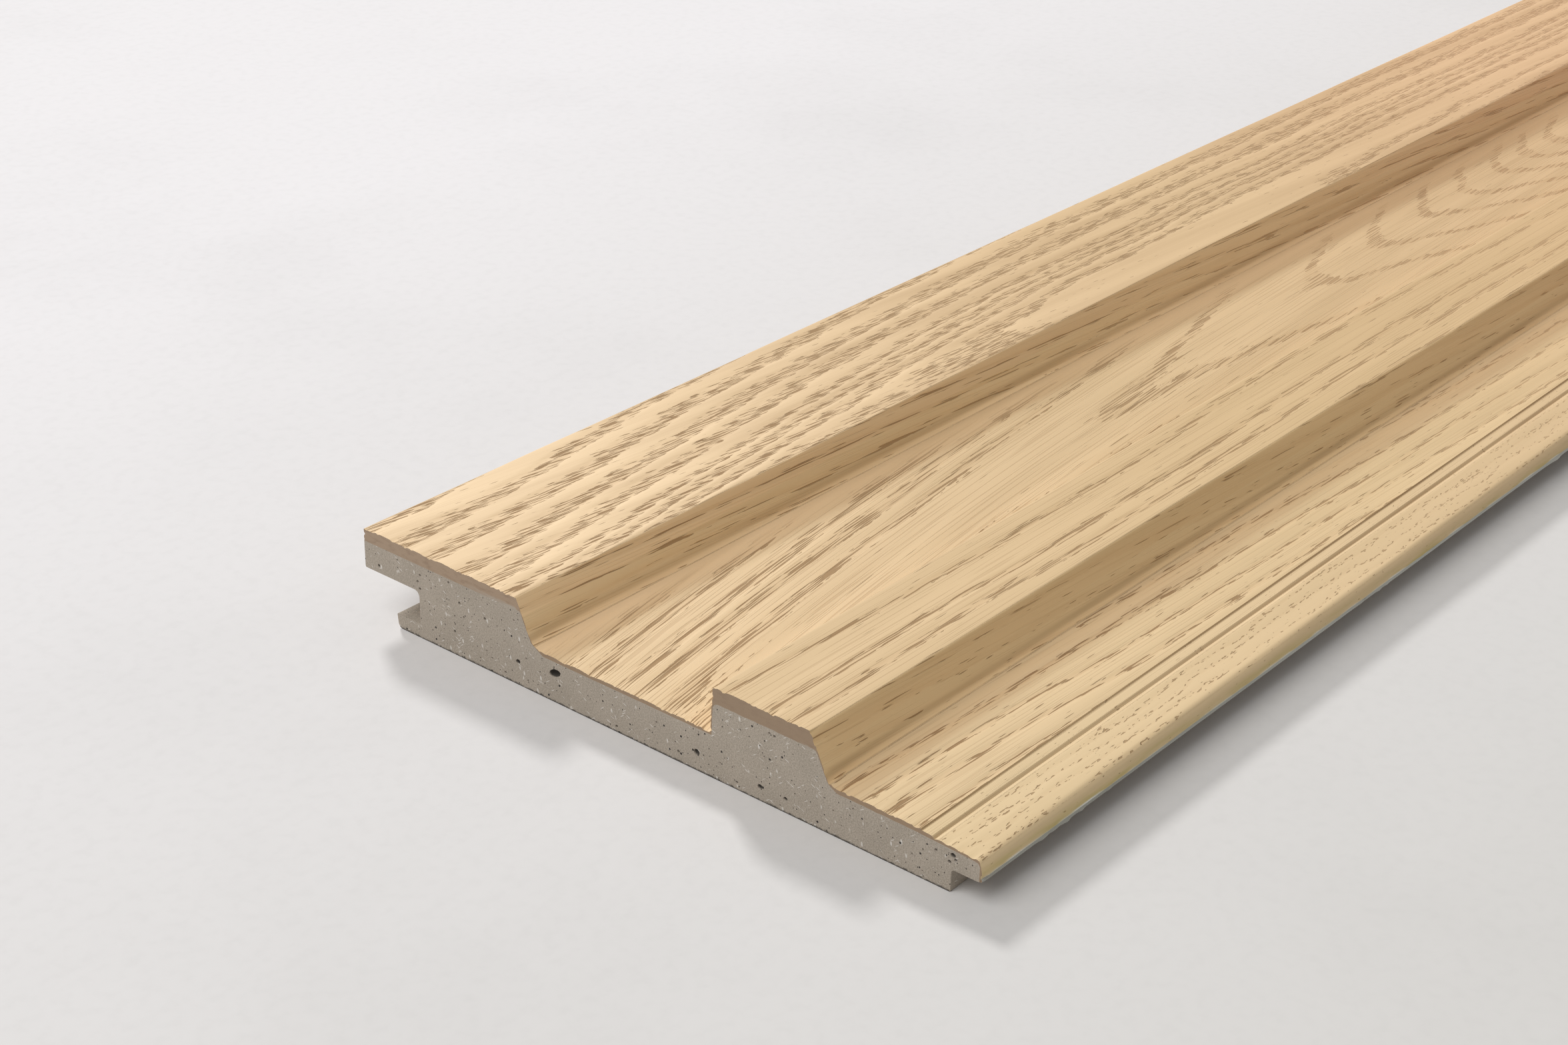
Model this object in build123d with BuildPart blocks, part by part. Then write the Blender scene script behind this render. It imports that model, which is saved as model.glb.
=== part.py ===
from build123d import *
import os
from math import cos, radians, tan

# Board and batten cladding board: a moulded resin core under a wood-grained facing skin.
# X runs along the board, Y across it with the grooved edge at +Y, Z up from the back face.
# The section is written as (s, z): s across from the grooved edge, z up from the back face.

# Driving dimensions of the whole board, in millimetres
board_length = 3600.0
board_thickness = 26.0

# Strips of the face, across from the grooved edge
plate_width = 57.2
wide_channel_width = 60.3
wide_channel_depth = 12.8
batten_width = 30.7
narrow_channel_width = 27.1
narrow_channel_depth = 12.5
slope_angle = 26.0
batten_draft_angle = 2.5
slope_foot_radius = 3.8
batten_foot_radius = 0.5
plate_edge_radius = 0.6
batten_edge_radius = 0.9

# Grooved edge
groove_height = 9.9
groove_depth = 20.9
groove_top_radius = 1.8
groove_bottom_radius = 0.6
lower_lip_thickness = 4.3
lower_lip_setback = 11.8
lower_lip_taper = 0.6
lower_lip_radius = 1.5
lip_edge_radius = 0.4

# Tongue edge, which enters the groove of the next board
tongue_top_clearance = 2.1
tongue_bottom_clearance = 2.0
nose_clearance = 0.6
expansion_gap = 2.5
tongue_fall = 0.6
nose_top_radius = 2.0
nose_bottom_radius = 1.2
rebate_radius = 0.8
back_edge_radius = 0.4

# Lap step, where the next board's lip ends, and the fixing strip and groove beyond it
lap_step_depth = 0.4
lap_step_width = 0.2
fixing_strip_width = 4.0
fixing_strip_fall = 0.15
fixing_groove_depth = 0.4
fixing_groove_inner_width = 0.75
fixing_groove_outer_width = 1.45

# Thickness of the facing skin on each strip
plate_skin = 3.8
slope_skin = 0.4
wide_channel_skin = 1.3
batten_skin = 4.6
narrow_channel_skin = 1.5
tongue_skin = 0.7
core_shoulder_radius = 1.5

# Heights of the face
wide_floor = board_thickness - wide_channel_depth
narrow_floor = board_thickness - narrow_channel_depth
groove_top = lower_lip_thickness + groove_height
tongue_under = lower_lip_thickness + tongue_bottom_clearance
nose_top = groove_top - tongue_top_clearance
tongue_top = nose_top + tongue_fall
strip_top = narrow_floor - lap_step_depth
strip_low = strip_top - fixing_strip_fall
fixing_floor = tongue_top - fixing_groove_depth

# Places across the face
slope_lean = tan(radians(slope_angle))
draft_lean = tan(radians(batten_draft_angle))
wide_channel_start = plate_width + wide_channel_depth * slope_lean
batten_foot = wide_channel_start + wide_channel_width
batten_start = batten_foot + wide_channel_depth * draft_lean
batten_end = batten_start + batten_width
narrow_channel_start = batten_end + narrow_channel_depth * slope_lean
lap_line = narrow_channel_start + narrow_channel_width
fixing_line = lap_line + fixing_strip_width

# The next board's lip ends on the lap line, with its lower lip an expansion gap short of the rebate
tongue_reach = groove_depth - lower_lip_setback - nose_clearance
rebate_root = lap_line + lower_lip_setback - expansion_gap
board_width = rebate_root + tongue_reach

# Rounds that their walls limit
nose_height = nose_top - tongue_under
nose_top_round = min(nose_top_radius, 0.6 * nose_height)
nose_bottom_round = min(nose_bottom_radius, 0.3 * nose_height)
core_nose_round = max(nose_top_round - tongue_skin, 0.0)


def first_slope(z):
    """Place of the plate's sloped side at height z."""
    return plate_width + (board_thickness - z) * slope_lean


def batten_side(z):
    """Place of the batten's steep side at height z."""
    return batten_start - (board_thickness - z) * draft_lean


def second_slope(z):
    """Place of the batten's sloped side at height z."""
    return batten_end + (board_thickness - z) * slope_lean


def draw_closed(corners, mode=Mode.ADD):
    """Draws the face of a closed outline given as corners of (s, z, radius)."""
    points = [(board_width / 2 - s, z) for s, z, radius in corners]
    with BuildLine() as outline:
        FilletPolyline(*points, radius=[radius for s, z, radius in corners], close=True)
    make_face(outline.edges(), mode=mode)


# Outline of the whole section, both materials: along the face, then back along the underside
board_outline = [
    (0.0, board_thickness, plate_edge_radius),
    (plate_width, board_thickness, plate_edge_radius),
    (wide_channel_start, wide_floor, slope_foot_radius),
    (batten_foot, wide_floor, batten_foot_radius),
    (batten_start, board_thickness, batten_edge_radius),
    (batten_end, board_thickness, batten_edge_radius),
    (narrow_channel_start, narrow_floor, slope_foot_radius),
    (lap_line, narrow_floor, 0.0),
    (lap_line + lap_step_width, strip_top, 0.0),
    (fixing_line - fixing_groove_inner_width, strip_low, 0.0),
    (fixing_line, fixing_floor, 0.0),
    (fixing_line + fixing_groove_outer_width, tongue_top, 0.0),
    (board_width, nose_top, nose_top_round),
    (board_width, tongue_under, nose_bottom_round),
    (rebate_root, tongue_under, rebate_radius),
    (rebate_root, 0.0, back_edge_radius),
    (lower_lip_setback + lower_lip_taper, 0.0, lower_lip_radius),
    (lower_lip_setback, lower_lip_thickness, lip_edge_radius),
    (groove_depth, lower_lip_thickness, groove_bottom_radius),
    (groove_depth, groove_top, groove_top_radius),
    (0.0, groove_top, lip_edge_radius),
]

# Outline of the core's side of the bond line, drawn well past the lip and the back face
slope_run = slope_skin / cos(radians(slope_angle))
draft_run = slope_skin / cos(radians(batten_draft_angle))
plate_bond = board_thickness - plate_skin
wide_bond = wide_floor - wide_channel_skin
batten_bond = board_thickness - batten_skin
narrow_bond = narrow_floor - narrow_channel_skin
fixing_bond = min(strip_low, fixing_floor) - tongue_skin
core_outline = [
    (-groove_depth, plate_bond, 0.0),
    (first_slope(plate_bond) - slope_run, plate_bond, core_shoulder_radius),
    (first_slope(wide_bond) - slope_run, wide_bond, slope_foot_radius + wide_channel_skin),
    (batten_side(wide_bond) + draft_run, wide_bond, batten_foot_radius),
    (batten_side(batten_bond) + draft_run, batten_bond, core_shoulder_radius),
    (second_slope(batten_bond) - slope_run, batten_bond, core_shoulder_radius),
    (second_slope(narrow_bond) - slope_run, narrow_bond, slope_foot_radius + narrow_channel_skin),
    (lap_line, narrow_bond, 0.0),
    (fixing_line, fixing_bond, 0.0),
    (board_width - tongue_skin, nose_top - tongue_skin, core_nose_round),
    (board_width - tongue_skin, -board_thickness, 0.0),
    (-groove_depth, -board_thickness, 0.0),
]

near_end = Plane.YZ.offset(-board_length / 2)

# Resin core: the section below the bond line, with the groove, both lips, the rebate and the tongue
with BuildPart() as resin_core:
    with BuildSketch(near_end):
        draw_closed(board_outline)
        draw_closed(core_outline, mode=Mode.INTERSECT)
    extrude(amount=board_length)

# Facing skin: what the bond line leaves of the section, round the nose of the tongue
with BuildPart() as face_skin:
    with BuildSketch(near_end):
        draw_closed(board_outline)
        draw_closed(core_outline, mode=Mode.SUBTRACT)
    extrude(amount=board_length)

resin_core.part.label = "resin_core"
face_skin.part.label = "face_skin"

os.makedirs("parts", exist_ok=True)
export_step(resin_core.part, "parts/resin_core.step")
export_step(face_skin.part, "parts/face_skin.step")
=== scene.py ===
"""Looks of a board and batten cladding board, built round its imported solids.

The grained face is made as five strips that meet on the flanks of the section, each with its own
figure of growth rings, pores and fine lines pressed into it. A sixth strip is the frayed edge under
the nose. The resin core carries the two sawn ends with their voids. Sizes are in millimetres and
become metres where a mesh is made.
"""

import logging
import math
from dataclasses import dataclass
from enum import Enum
from typing import ClassVar

import bmesh
import bpy
import numpy as np
from mathutils import Matrix, Vector


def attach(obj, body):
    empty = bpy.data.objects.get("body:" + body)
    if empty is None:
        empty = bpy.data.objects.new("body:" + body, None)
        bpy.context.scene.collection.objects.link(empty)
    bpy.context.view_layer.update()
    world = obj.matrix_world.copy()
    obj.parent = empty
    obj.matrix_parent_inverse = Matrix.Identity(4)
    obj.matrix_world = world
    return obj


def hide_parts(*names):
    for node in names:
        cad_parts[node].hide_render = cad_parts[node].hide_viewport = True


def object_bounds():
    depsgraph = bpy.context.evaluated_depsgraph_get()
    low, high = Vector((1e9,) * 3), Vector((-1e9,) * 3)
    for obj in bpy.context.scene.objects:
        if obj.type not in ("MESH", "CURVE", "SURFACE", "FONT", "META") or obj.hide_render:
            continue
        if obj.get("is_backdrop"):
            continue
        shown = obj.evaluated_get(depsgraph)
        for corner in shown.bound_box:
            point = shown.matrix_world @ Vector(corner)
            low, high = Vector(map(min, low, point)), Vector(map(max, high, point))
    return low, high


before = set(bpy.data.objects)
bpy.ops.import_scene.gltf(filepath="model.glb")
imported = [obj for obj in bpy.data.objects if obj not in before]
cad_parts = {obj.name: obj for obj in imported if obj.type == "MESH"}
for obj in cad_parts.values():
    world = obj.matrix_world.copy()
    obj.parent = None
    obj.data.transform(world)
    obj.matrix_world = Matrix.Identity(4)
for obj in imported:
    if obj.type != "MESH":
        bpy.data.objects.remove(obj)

log = logging.getLogger("cladding_board")

MM = 0.001
BAND_SHARE = 0.5
PLAIN_RING = 0.3
SHARP_ANGLE = 34.0
Colour = tuple[float, float, float, float]
Span = tuple[float, float]
Wave = tuple[float, float, float]
Socket = bpy.types.NodeSocket


def rgb(red: float, green: float, blue: float) -> Colour:
    """Returns a linear colour with full cover."""
    return (red, green, blue, 1.0)


def ease(value: np.ndarray, low: float, high: float) -> np.ndarray:
    """Returns 0 below low, 1 above high and a smooth step between."""
    share = np.clip((value - low) / (high - low), 0.0, 1.0)
    return share * share * (3.0 - 2.0 * share)


class SmoothNoise:
    """Repeatable smooth noise over a plane, from -1 to 1."""

    cells: ClassVar[int] = 97

    def __init__(self, seed: int) -> None:
        """Draws the lattice.

        Args:
            seed: Fixes the lattice's numbers.
        """
        self.lattice = np.random.default_rng(seed).uniform(-1.0, 1.0, (self.cells, self.cells))

    def at(self, first: np.ndarray, second: np.ndarray) -> np.ndarray:
        """Reads the noise.

        Args:
            first: Places along the lattice's first side, in cells.
            second: Places along its second side.

        Returns:
            One value for each place.
        """
        first, second = np.broadcast_arrays(first, second)
        row, column = np.floor(first).astype(int), np.floor(second).astype(int)
        a, b = ease(first - row, 0.0, 1.0), ease(second - column, 0.0, 1.0)
        here = [
            [self.lattice[(row + i) % self.cells, (column + j) % self.cells] for j in (0, 1)]
            for i in (0, 1)
        ]
        near = here[0][0] * (1 - b) + here[0][1] * b
        far = here[1][0] * (1 - b) + here[1][1] * b
        return near * (1 - a) + far * a


@dataclass(frozen=True)
class Corner:
    """A corner of the section, across from the grooved edge and up from the back."""

    across: float
    up: float
    radius: float = 0.0


@dataclass(frozen=True)
class BoardSection:
    """Sizes of the moulded board."""

    length: float
    width: float
    thickness: float
    plate_width: float = 57.2
    wide_channel_width: float = 60.3
    wide_channel_depth: float = 12.8
    batten_width: float = 30.7
    narrow_channel_width: float = 27.1
    narrow_channel_depth: float = 12.5
    slope_angle: float = 26.0
    draft_angle: float = 2.5
    slope_foot_radius: float = 3.8
    batten_foot_radius: float = 0.5
    plate_edge_radius: float = 0.6
    batten_edge_radius: float = 0.9
    groove_height: float = 9.9
    groove_depth: float = 20.9
    groove_top_radius: float = 1.8
    groove_bottom_radius: float = 0.6
    lower_lip_thickness: float = 4.3
    lower_lip_setback: float = 11.8
    lower_lip_taper: float = 0.6
    lower_lip_radius: float = 1.5
    lip_edge_radius: float = 0.4
    tongue_top: float = 12.7
    tongue_fall: float = 0.6
    tongue_under: float = 6.3
    expansion_gap: float = 2.5
    nose_top_radius: float = 2.0
    nose_bottom_radius: float = 1.2
    rebate_radius: float = 0.8
    back_edge_radius: float = 0.4
    lap_step_depth: float = 0.4
    lap_step_width: float = 0.2
    fixing_strip_width: float = 4.0
    fixing_strip_fall: float = 0.15
    fixing_groove_depth: float = 0.4
    fixing_groove_inner_width: float = 0.75
    fixing_groove_outer_width: float = 1.45
    plate_skin: float = 3.8
    slope_skin: float = 0.4
    wide_channel_skin: float = 1.3
    batten_skin: float = 4.6
    narrow_channel_skin: float = 1.5
    tongue_skin: float = 0.7
    core_shoulder_radius: float = 1.5

    @classmethod
    def from_frame(cls) -> "BoardSection":
        """Takes the board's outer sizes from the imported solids."""
        low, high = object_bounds()
        length, width, thickness = (high - low) / MM
        return cls(length, width, thickness)

    @property
    def slope_lean(self) -> float:
        """Run of a slope for each millimetre of fall."""
        return math.tan(math.radians(self.slope_angle))

    @property
    def draft_lean(self) -> float:
        """Run of the batten's steep side for each millimetre of fall."""
        return math.tan(math.radians(self.draft_angle))

    @property
    def slope_run(self) -> float:
        """The slope's skin, measured level."""
        return self.slope_skin / math.cos(math.radians(self.slope_angle))

    @property
    def draft_run(self) -> float:
        """The steep side's skin, measured level."""
        return self.slope_skin / math.cos(math.radians(self.draft_angle))

    @property
    def plate_bond(self) -> float:
        """Height of the core under the plate."""
        return self.thickness - self.plate_skin

    @property
    def wide_floor(self) -> float:
        """Height of the wide channel's floor."""
        return self.thickness - self.wide_channel_depth

    @property
    def wide_bond(self) -> float:
        """Height of the core under the wide channel."""
        return self.wide_floor - self.wide_channel_skin

    @property
    def batten_bond(self) -> float:
        """Height of the core under the batten."""
        return self.thickness - self.batten_skin

    @property
    def narrow_floor(self) -> float:
        """Height of the narrow channel's floor."""
        return self.thickness - self.narrow_channel_depth

    @property
    def narrow_bond(self) -> float:
        """Height of the core under the narrow channel."""
        return self.narrow_floor - self.narrow_channel_skin

    @property
    def wide_start(self) -> float:
        """Where the wide channel's floor starts."""
        return self.first_slope(self.wide_floor)

    @property
    def batten_foot(self) -> float:
        """Where the batten's steep side meets the floor."""
        return self.wide_start + self.wide_channel_width

    @property
    def batten_start(self) -> float:
        """The batten's sharp arris."""
        return self.batten_foot + self.wide_channel_depth * self.draft_lean

    @property
    def batten_end(self) -> float:
        """The batten's arris above the second slope."""
        return self.batten_start + self.batten_width

    @property
    def narrow_start(self) -> float:
        """Where the narrow channel's floor starts."""
        return self.second_slope(self.narrow_floor)

    @property
    def lap_line(self) -> float:
        """The step where the next board's lip ends."""
        return self.narrow_start + self.narrow_channel_width

    @property
    def fixing_line(self) -> float:
        """The bottom of the fixing groove."""
        return self.lap_line + self.fixing_strip_width

    @property
    def strip_top(self) -> float:
        """Height of the fixing strip at the lap step."""
        return self.narrow_floor - self.lap_step_depth

    @property
    def strip_low(self) -> float:
        """Height of the fixing strip at its groove."""
        return self.strip_top - self.fixing_strip_fall

    @property
    def fixing_floor(self) -> float:
        """Height of the fixing groove's bottom."""
        return self.tongue_top - self.fixing_groove_depth

    @property
    def fixing_bond(self) -> float:
        """Height of the core under the fixing groove."""
        return min(self.strip_low, self.fixing_floor) - self.tongue_skin

    @property
    def rebate_root(self) -> float:
        """The rebate's wall under the tongue."""
        return self.lap_line + self.lower_lip_setback - self.expansion_gap

    @property
    def groove_top(self) -> float:
        """Height of the groove's roof."""
        return self.lower_lip_thickness + self.groove_height

    @property
    def nose_top(self) -> float:
        """Height of the tongue at its nose."""
        return self.tongue_top - self.tongue_fall

    @property
    def nose_bond(self) -> float:
        """Where the core ends behind the nose."""
        return self.width - self.tongue_skin

    @property
    def film_end(self) -> Corner:
        """Where the skin runs out under the nose."""
        in_from_nose = self.nose_bottom_radius - self.tongue_skin
        drop = math.sqrt(self.nose_bottom_radius**2 - in_from_nose**2)
        return Corner(self.nose_bond, self.tongue_under + self.nose_bottom_radius - drop)

    def first_slope(self, up: float) -> float:
        """Returns where the slope beside the plate is, at a height."""
        return self.plate_width + (self.thickness - up) * self.slope_lean

    def batten_side(self, up: float) -> float:
        """Returns where the batten's steep side is, at a height."""
        return self.batten_start - (self.thickness - up) * self.draft_lean

    def second_slope(self, up: float) -> float:
        """Returns where the slope beside the batten is, at a height."""
        return self.batten_end + (self.thickness - up) * self.slope_lean

    def place(self, along: float, across: float, up: float) -> Vector:
        """Returns a point of the frame, in metres, for a place on the board."""
        return Vector((along - self.length / 2, self.width / 2 - across, up)) * MM


@dataclass(frozen=True)
class RowPlan:
    """Rows of faces along the board, finer at the near end."""

    near_length: float = 720.0
    near_rows: int = 240
    far_rows: int = 360

    @property
    def count(self) -> int:
        """How many rows there are."""
        return self.near_rows + self.far_rows

    def along(self, share: float, length: float) -> float:
        """Finds where a row goes.

        Args:
            share: The row's number as a share of all rows.
            length: The board's length.

        Returns:
            The row's distance from the near end.
        """
        row = round(share * self.count)
        if row <= self.near_rows:
            return self.near_length * row / self.near_rows
        return self.near_length + (length - self.near_length) * (row - self.near_rows) / self.far_rows


class NodeSheet:
    """Adds and joins the nodes of one tree."""

    def __init__(self, tree: bpy.types.NodeTree) -> None:
        """Keeps the tree.

        Args:
            tree: The tree to work in.
        """
        self.tree = tree

    def add(self, kind: str, **settings: object) -> bpy.types.Node:
        """Adds a node.

        Args:
            kind: The node's type.
            settings: Values for its properties.

        Returns:
            The new node.
        """
        node = self.tree.nodes.new(kind)
        for key, value in settings.items():
            setattr(node, key, value)
        return node

    def feed(self, socket: Socket, value: object) -> None:
        """Links a socket to another, or sets its value.

        Args:
            socket: The input.
            value: An output, or a plain value.
        """
        if isinstance(value, bpy.types.NodeSocket):
            self.tree.links.new(value, socket)
        else:
            socket.default_value = value

    def math(self, operation: str, *values: object, clamp: bool = False) -> Socket:
        """Adds a Math node.

        Args:
            operation: Its operation.
            values: Its inputs in order.
            clamp: Whether the result stays between 0 and 1.

        Returns:
            Its output.
        """
        node = self.add("ShaderNodeMath", operation=operation, use_clamp=clamp)
        for socket, value in zip(node.inputs, values):
            self.feed(socket, value)
        return node.outputs[0]

    def step(self, value: Socket, low: object, high: object, start: float = 0.0, end: float = 1.0) -> Socket:
        """Adds a smooth step.

        Args:
            value: What is stepped.
            low: Where the step starts.
            high: Where it ends.
            start: The result before it.
            end: The result after it.

        Returns:
            The stepped value.
        """
        node = self.add("ShaderNodeMapRange", interpolation_type="SMOOTHSTEP")
        for socket, given in zip(node.inputs, (value, low, high, start, end)):
            self.feed(socket, given)
        return node.outputs[0]

    def ramp(self, value: Socket, low: float, high: float) -> Socket:
        """Returns a value that rises evenly from 0 at low to 1 at high."""
        node = self.add("ShaderNodeMapRange", interpolation_type="LINEAR", clamp=True)
        for socket, given in zip(node.inputs, (value, low, high, 0.0, 1.0)):
            self.feed(socket, given)
        return node.outputs[0]

    def blend(self, factor: object, first: object, second: object, mode: str = "MIX") -> Socket:
        """Mixes two colours.

        Args:
            factor: The second colour's share.
            first: The first colour.
            second: The second colour.
            mode: How they mix.

        Returns:
            The mixed colour.
        """
        node = self.add("ShaderNodeMix", data_type="RGBA", blend_type=mode)
        for index, given in ((0, factor), (6, first), (7, second)):
            self.feed(node.inputs[index], given)
        return node.outputs[2]

    def join(self, x: object, y: object, z: object = 0.0) -> Socket:
        """Joins three values to a vector."""
        node = self.add("ShaderNodeCombineXYZ")
        for socket, given in zip(node.inputs, (x, y, z)):
            self.feed(socket, given)
        return node.outputs[0]

    def split(self, vector: Socket) -> tuple[Socket, Socket, Socket]:
        """Splits a vector into three values."""
        node = self.add("ShaderNodeSeparateXYZ")
        self.feed(node.inputs[0], vector)
        return tuple(node.outputs)

    def noise(self, vector: Socket, detail: float = 2.0, roughness: float = 0.5) -> Socket:
        """Adds noise of one cell for each unit of a vector.

        Args:
            vector: Where it is read.
            detail: Its octaves.
            roughness: How strong the fine octaves are.

        Returns:
            Its value, about 0.5 on the whole.
        """
        node = self.add("ShaderNodeTexNoise", noise_dimensions="3D")
        self.feed(node.inputs["Vector"], vector)
        for name, given in (("Scale", 1.0), ("Detail", detail), ("Roughness", roughness)):
            node.inputs[name].default_value = given
        return node.outputs[0]

    def cells(self, vector: Socket, solid: bool = False) -> tuple[Socket, Socket]:
        """Adds scattered cells, one for each unit of a vector.

        Args:
            vector: Where they are read.
            solid: Whether they fill space, and not only a plane.

        Returns:
            The distance to the nearest cell's middle, and that cell's own colour.
        """
        node = self.add("ShaderNodeTexVoronoi", voronoi_dimensions="3D" if solid else "2D", feature="F1")
        self.feed(node.inputs["Vector"], vector)
        node.inputs["Scale"].default_value = 1.0
        return node.outputs["Distance"], node.outputs["Color"]

    def mask(self, name: str) -> Socket:
        """Reads one of the mesh's own values."""
        return self.add("ShaderNodeAttribute", attribute_name=name).outputs["Fac"]

    def field(self, name: str) -> Socket:
        """Reads one of the mesh's own vectors."""
        return self.add("ShaderNodeAttribute", attribute_name=name).outputs["Vector"]

    def place(self, scale: float = 1.0 / MM) -> Socket:
        """Reads the place on the object, in millimetres unless another scale is given."""
        mapping = self.add("ShaderNodeMapping")
        mapping.inputs["Scale"].default_value = (scale, scale, scale)
        self.feed(mapping.inputs["Vector"], self.add("ShaderNodeTexCoord").outputs["Object"])
        return mapping.outputs[0]

    def bump(self, height: Socket, strength: float, depth: float) -> Socket:
        """Turns a height into a normal.

        Args:
            height: From 0 to 1.
            strength: Share of the effect.
            depth: The height's real range in millimetres.

        Returns:
            The normal.
        """
        node = self.add("ShaderNodeBump")
        node.inputs["Strength"].default_value = strength
        node.inputs["Distance"].default_value = depth * MM
        self.feed(node.inputs["Height"], height)
        return node.outputs[0]


class EffectGroup:
    """A shader node group that is built once and placed in several materials."""

    title: ClassVar[str] = ""
    takes: ClassVar[tuple[tuple[str, str], ...]] = ()
    gives: ClassVar[tuple[str, ...]] = ()

    @classmethod
    def tree(cls) -> bpy.types.NodeTree:
        """Returns the group's tree, and builds it the first time."""
        found = bpy.data.node_groups.get(cls.title)
        if found:
            return found
        made = bpy.data.node_groups.new(cls.title, "ShaderNodeTree")
        for name, kind in cls.takes:
            made.interface.new_socket(name, in_out="INPUT", socket_type=kind)
        for name in cls.gives:
            made.interface.new_socket(name, in_out="OUTPUT", socket_type="NodeSocketFloat")
        sheet = NodeSheet(made)
        given = sheet.add("NodeGroupInput").outputs
        result = sheet.add("NodeGroupOutput").inputs
        for name, value in cls.draw(sheet, {name: given[name] for name, _ in cls.takes}).items():
            sheet.feed(result[name], value)
        return made

    @classmethod
    def draw(cls, sheet: NodeSheet, given: dict[str, Socket]) -> dict[str, Socket]:
        """Draws the effect's nodes.

        Args:
            sheet: The group's sheet.
            given: Its inputs by name.

        Returns:
            Its outputs by name.
        """
        raise NotImplementedError

    @classmethod
    def use(cls, sheet: NodeSheet, **values: object) -> dict[str, Socket]:
        """Places the group in a material.

        Args:
            sheet: The material's sheet.
            values: The group's inputs, with _ for a space.

        Returns:
            Its outputs by name.
        """
        node = sheet.add("ShaderNodeGroup", node_tree=cls.tree())
        for name, value in values.items():
            sheet.feed(node.inputs[name.replace("_", " ")], value)
        return {name: node.outputs[name] for name in cls.gives}


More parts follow.
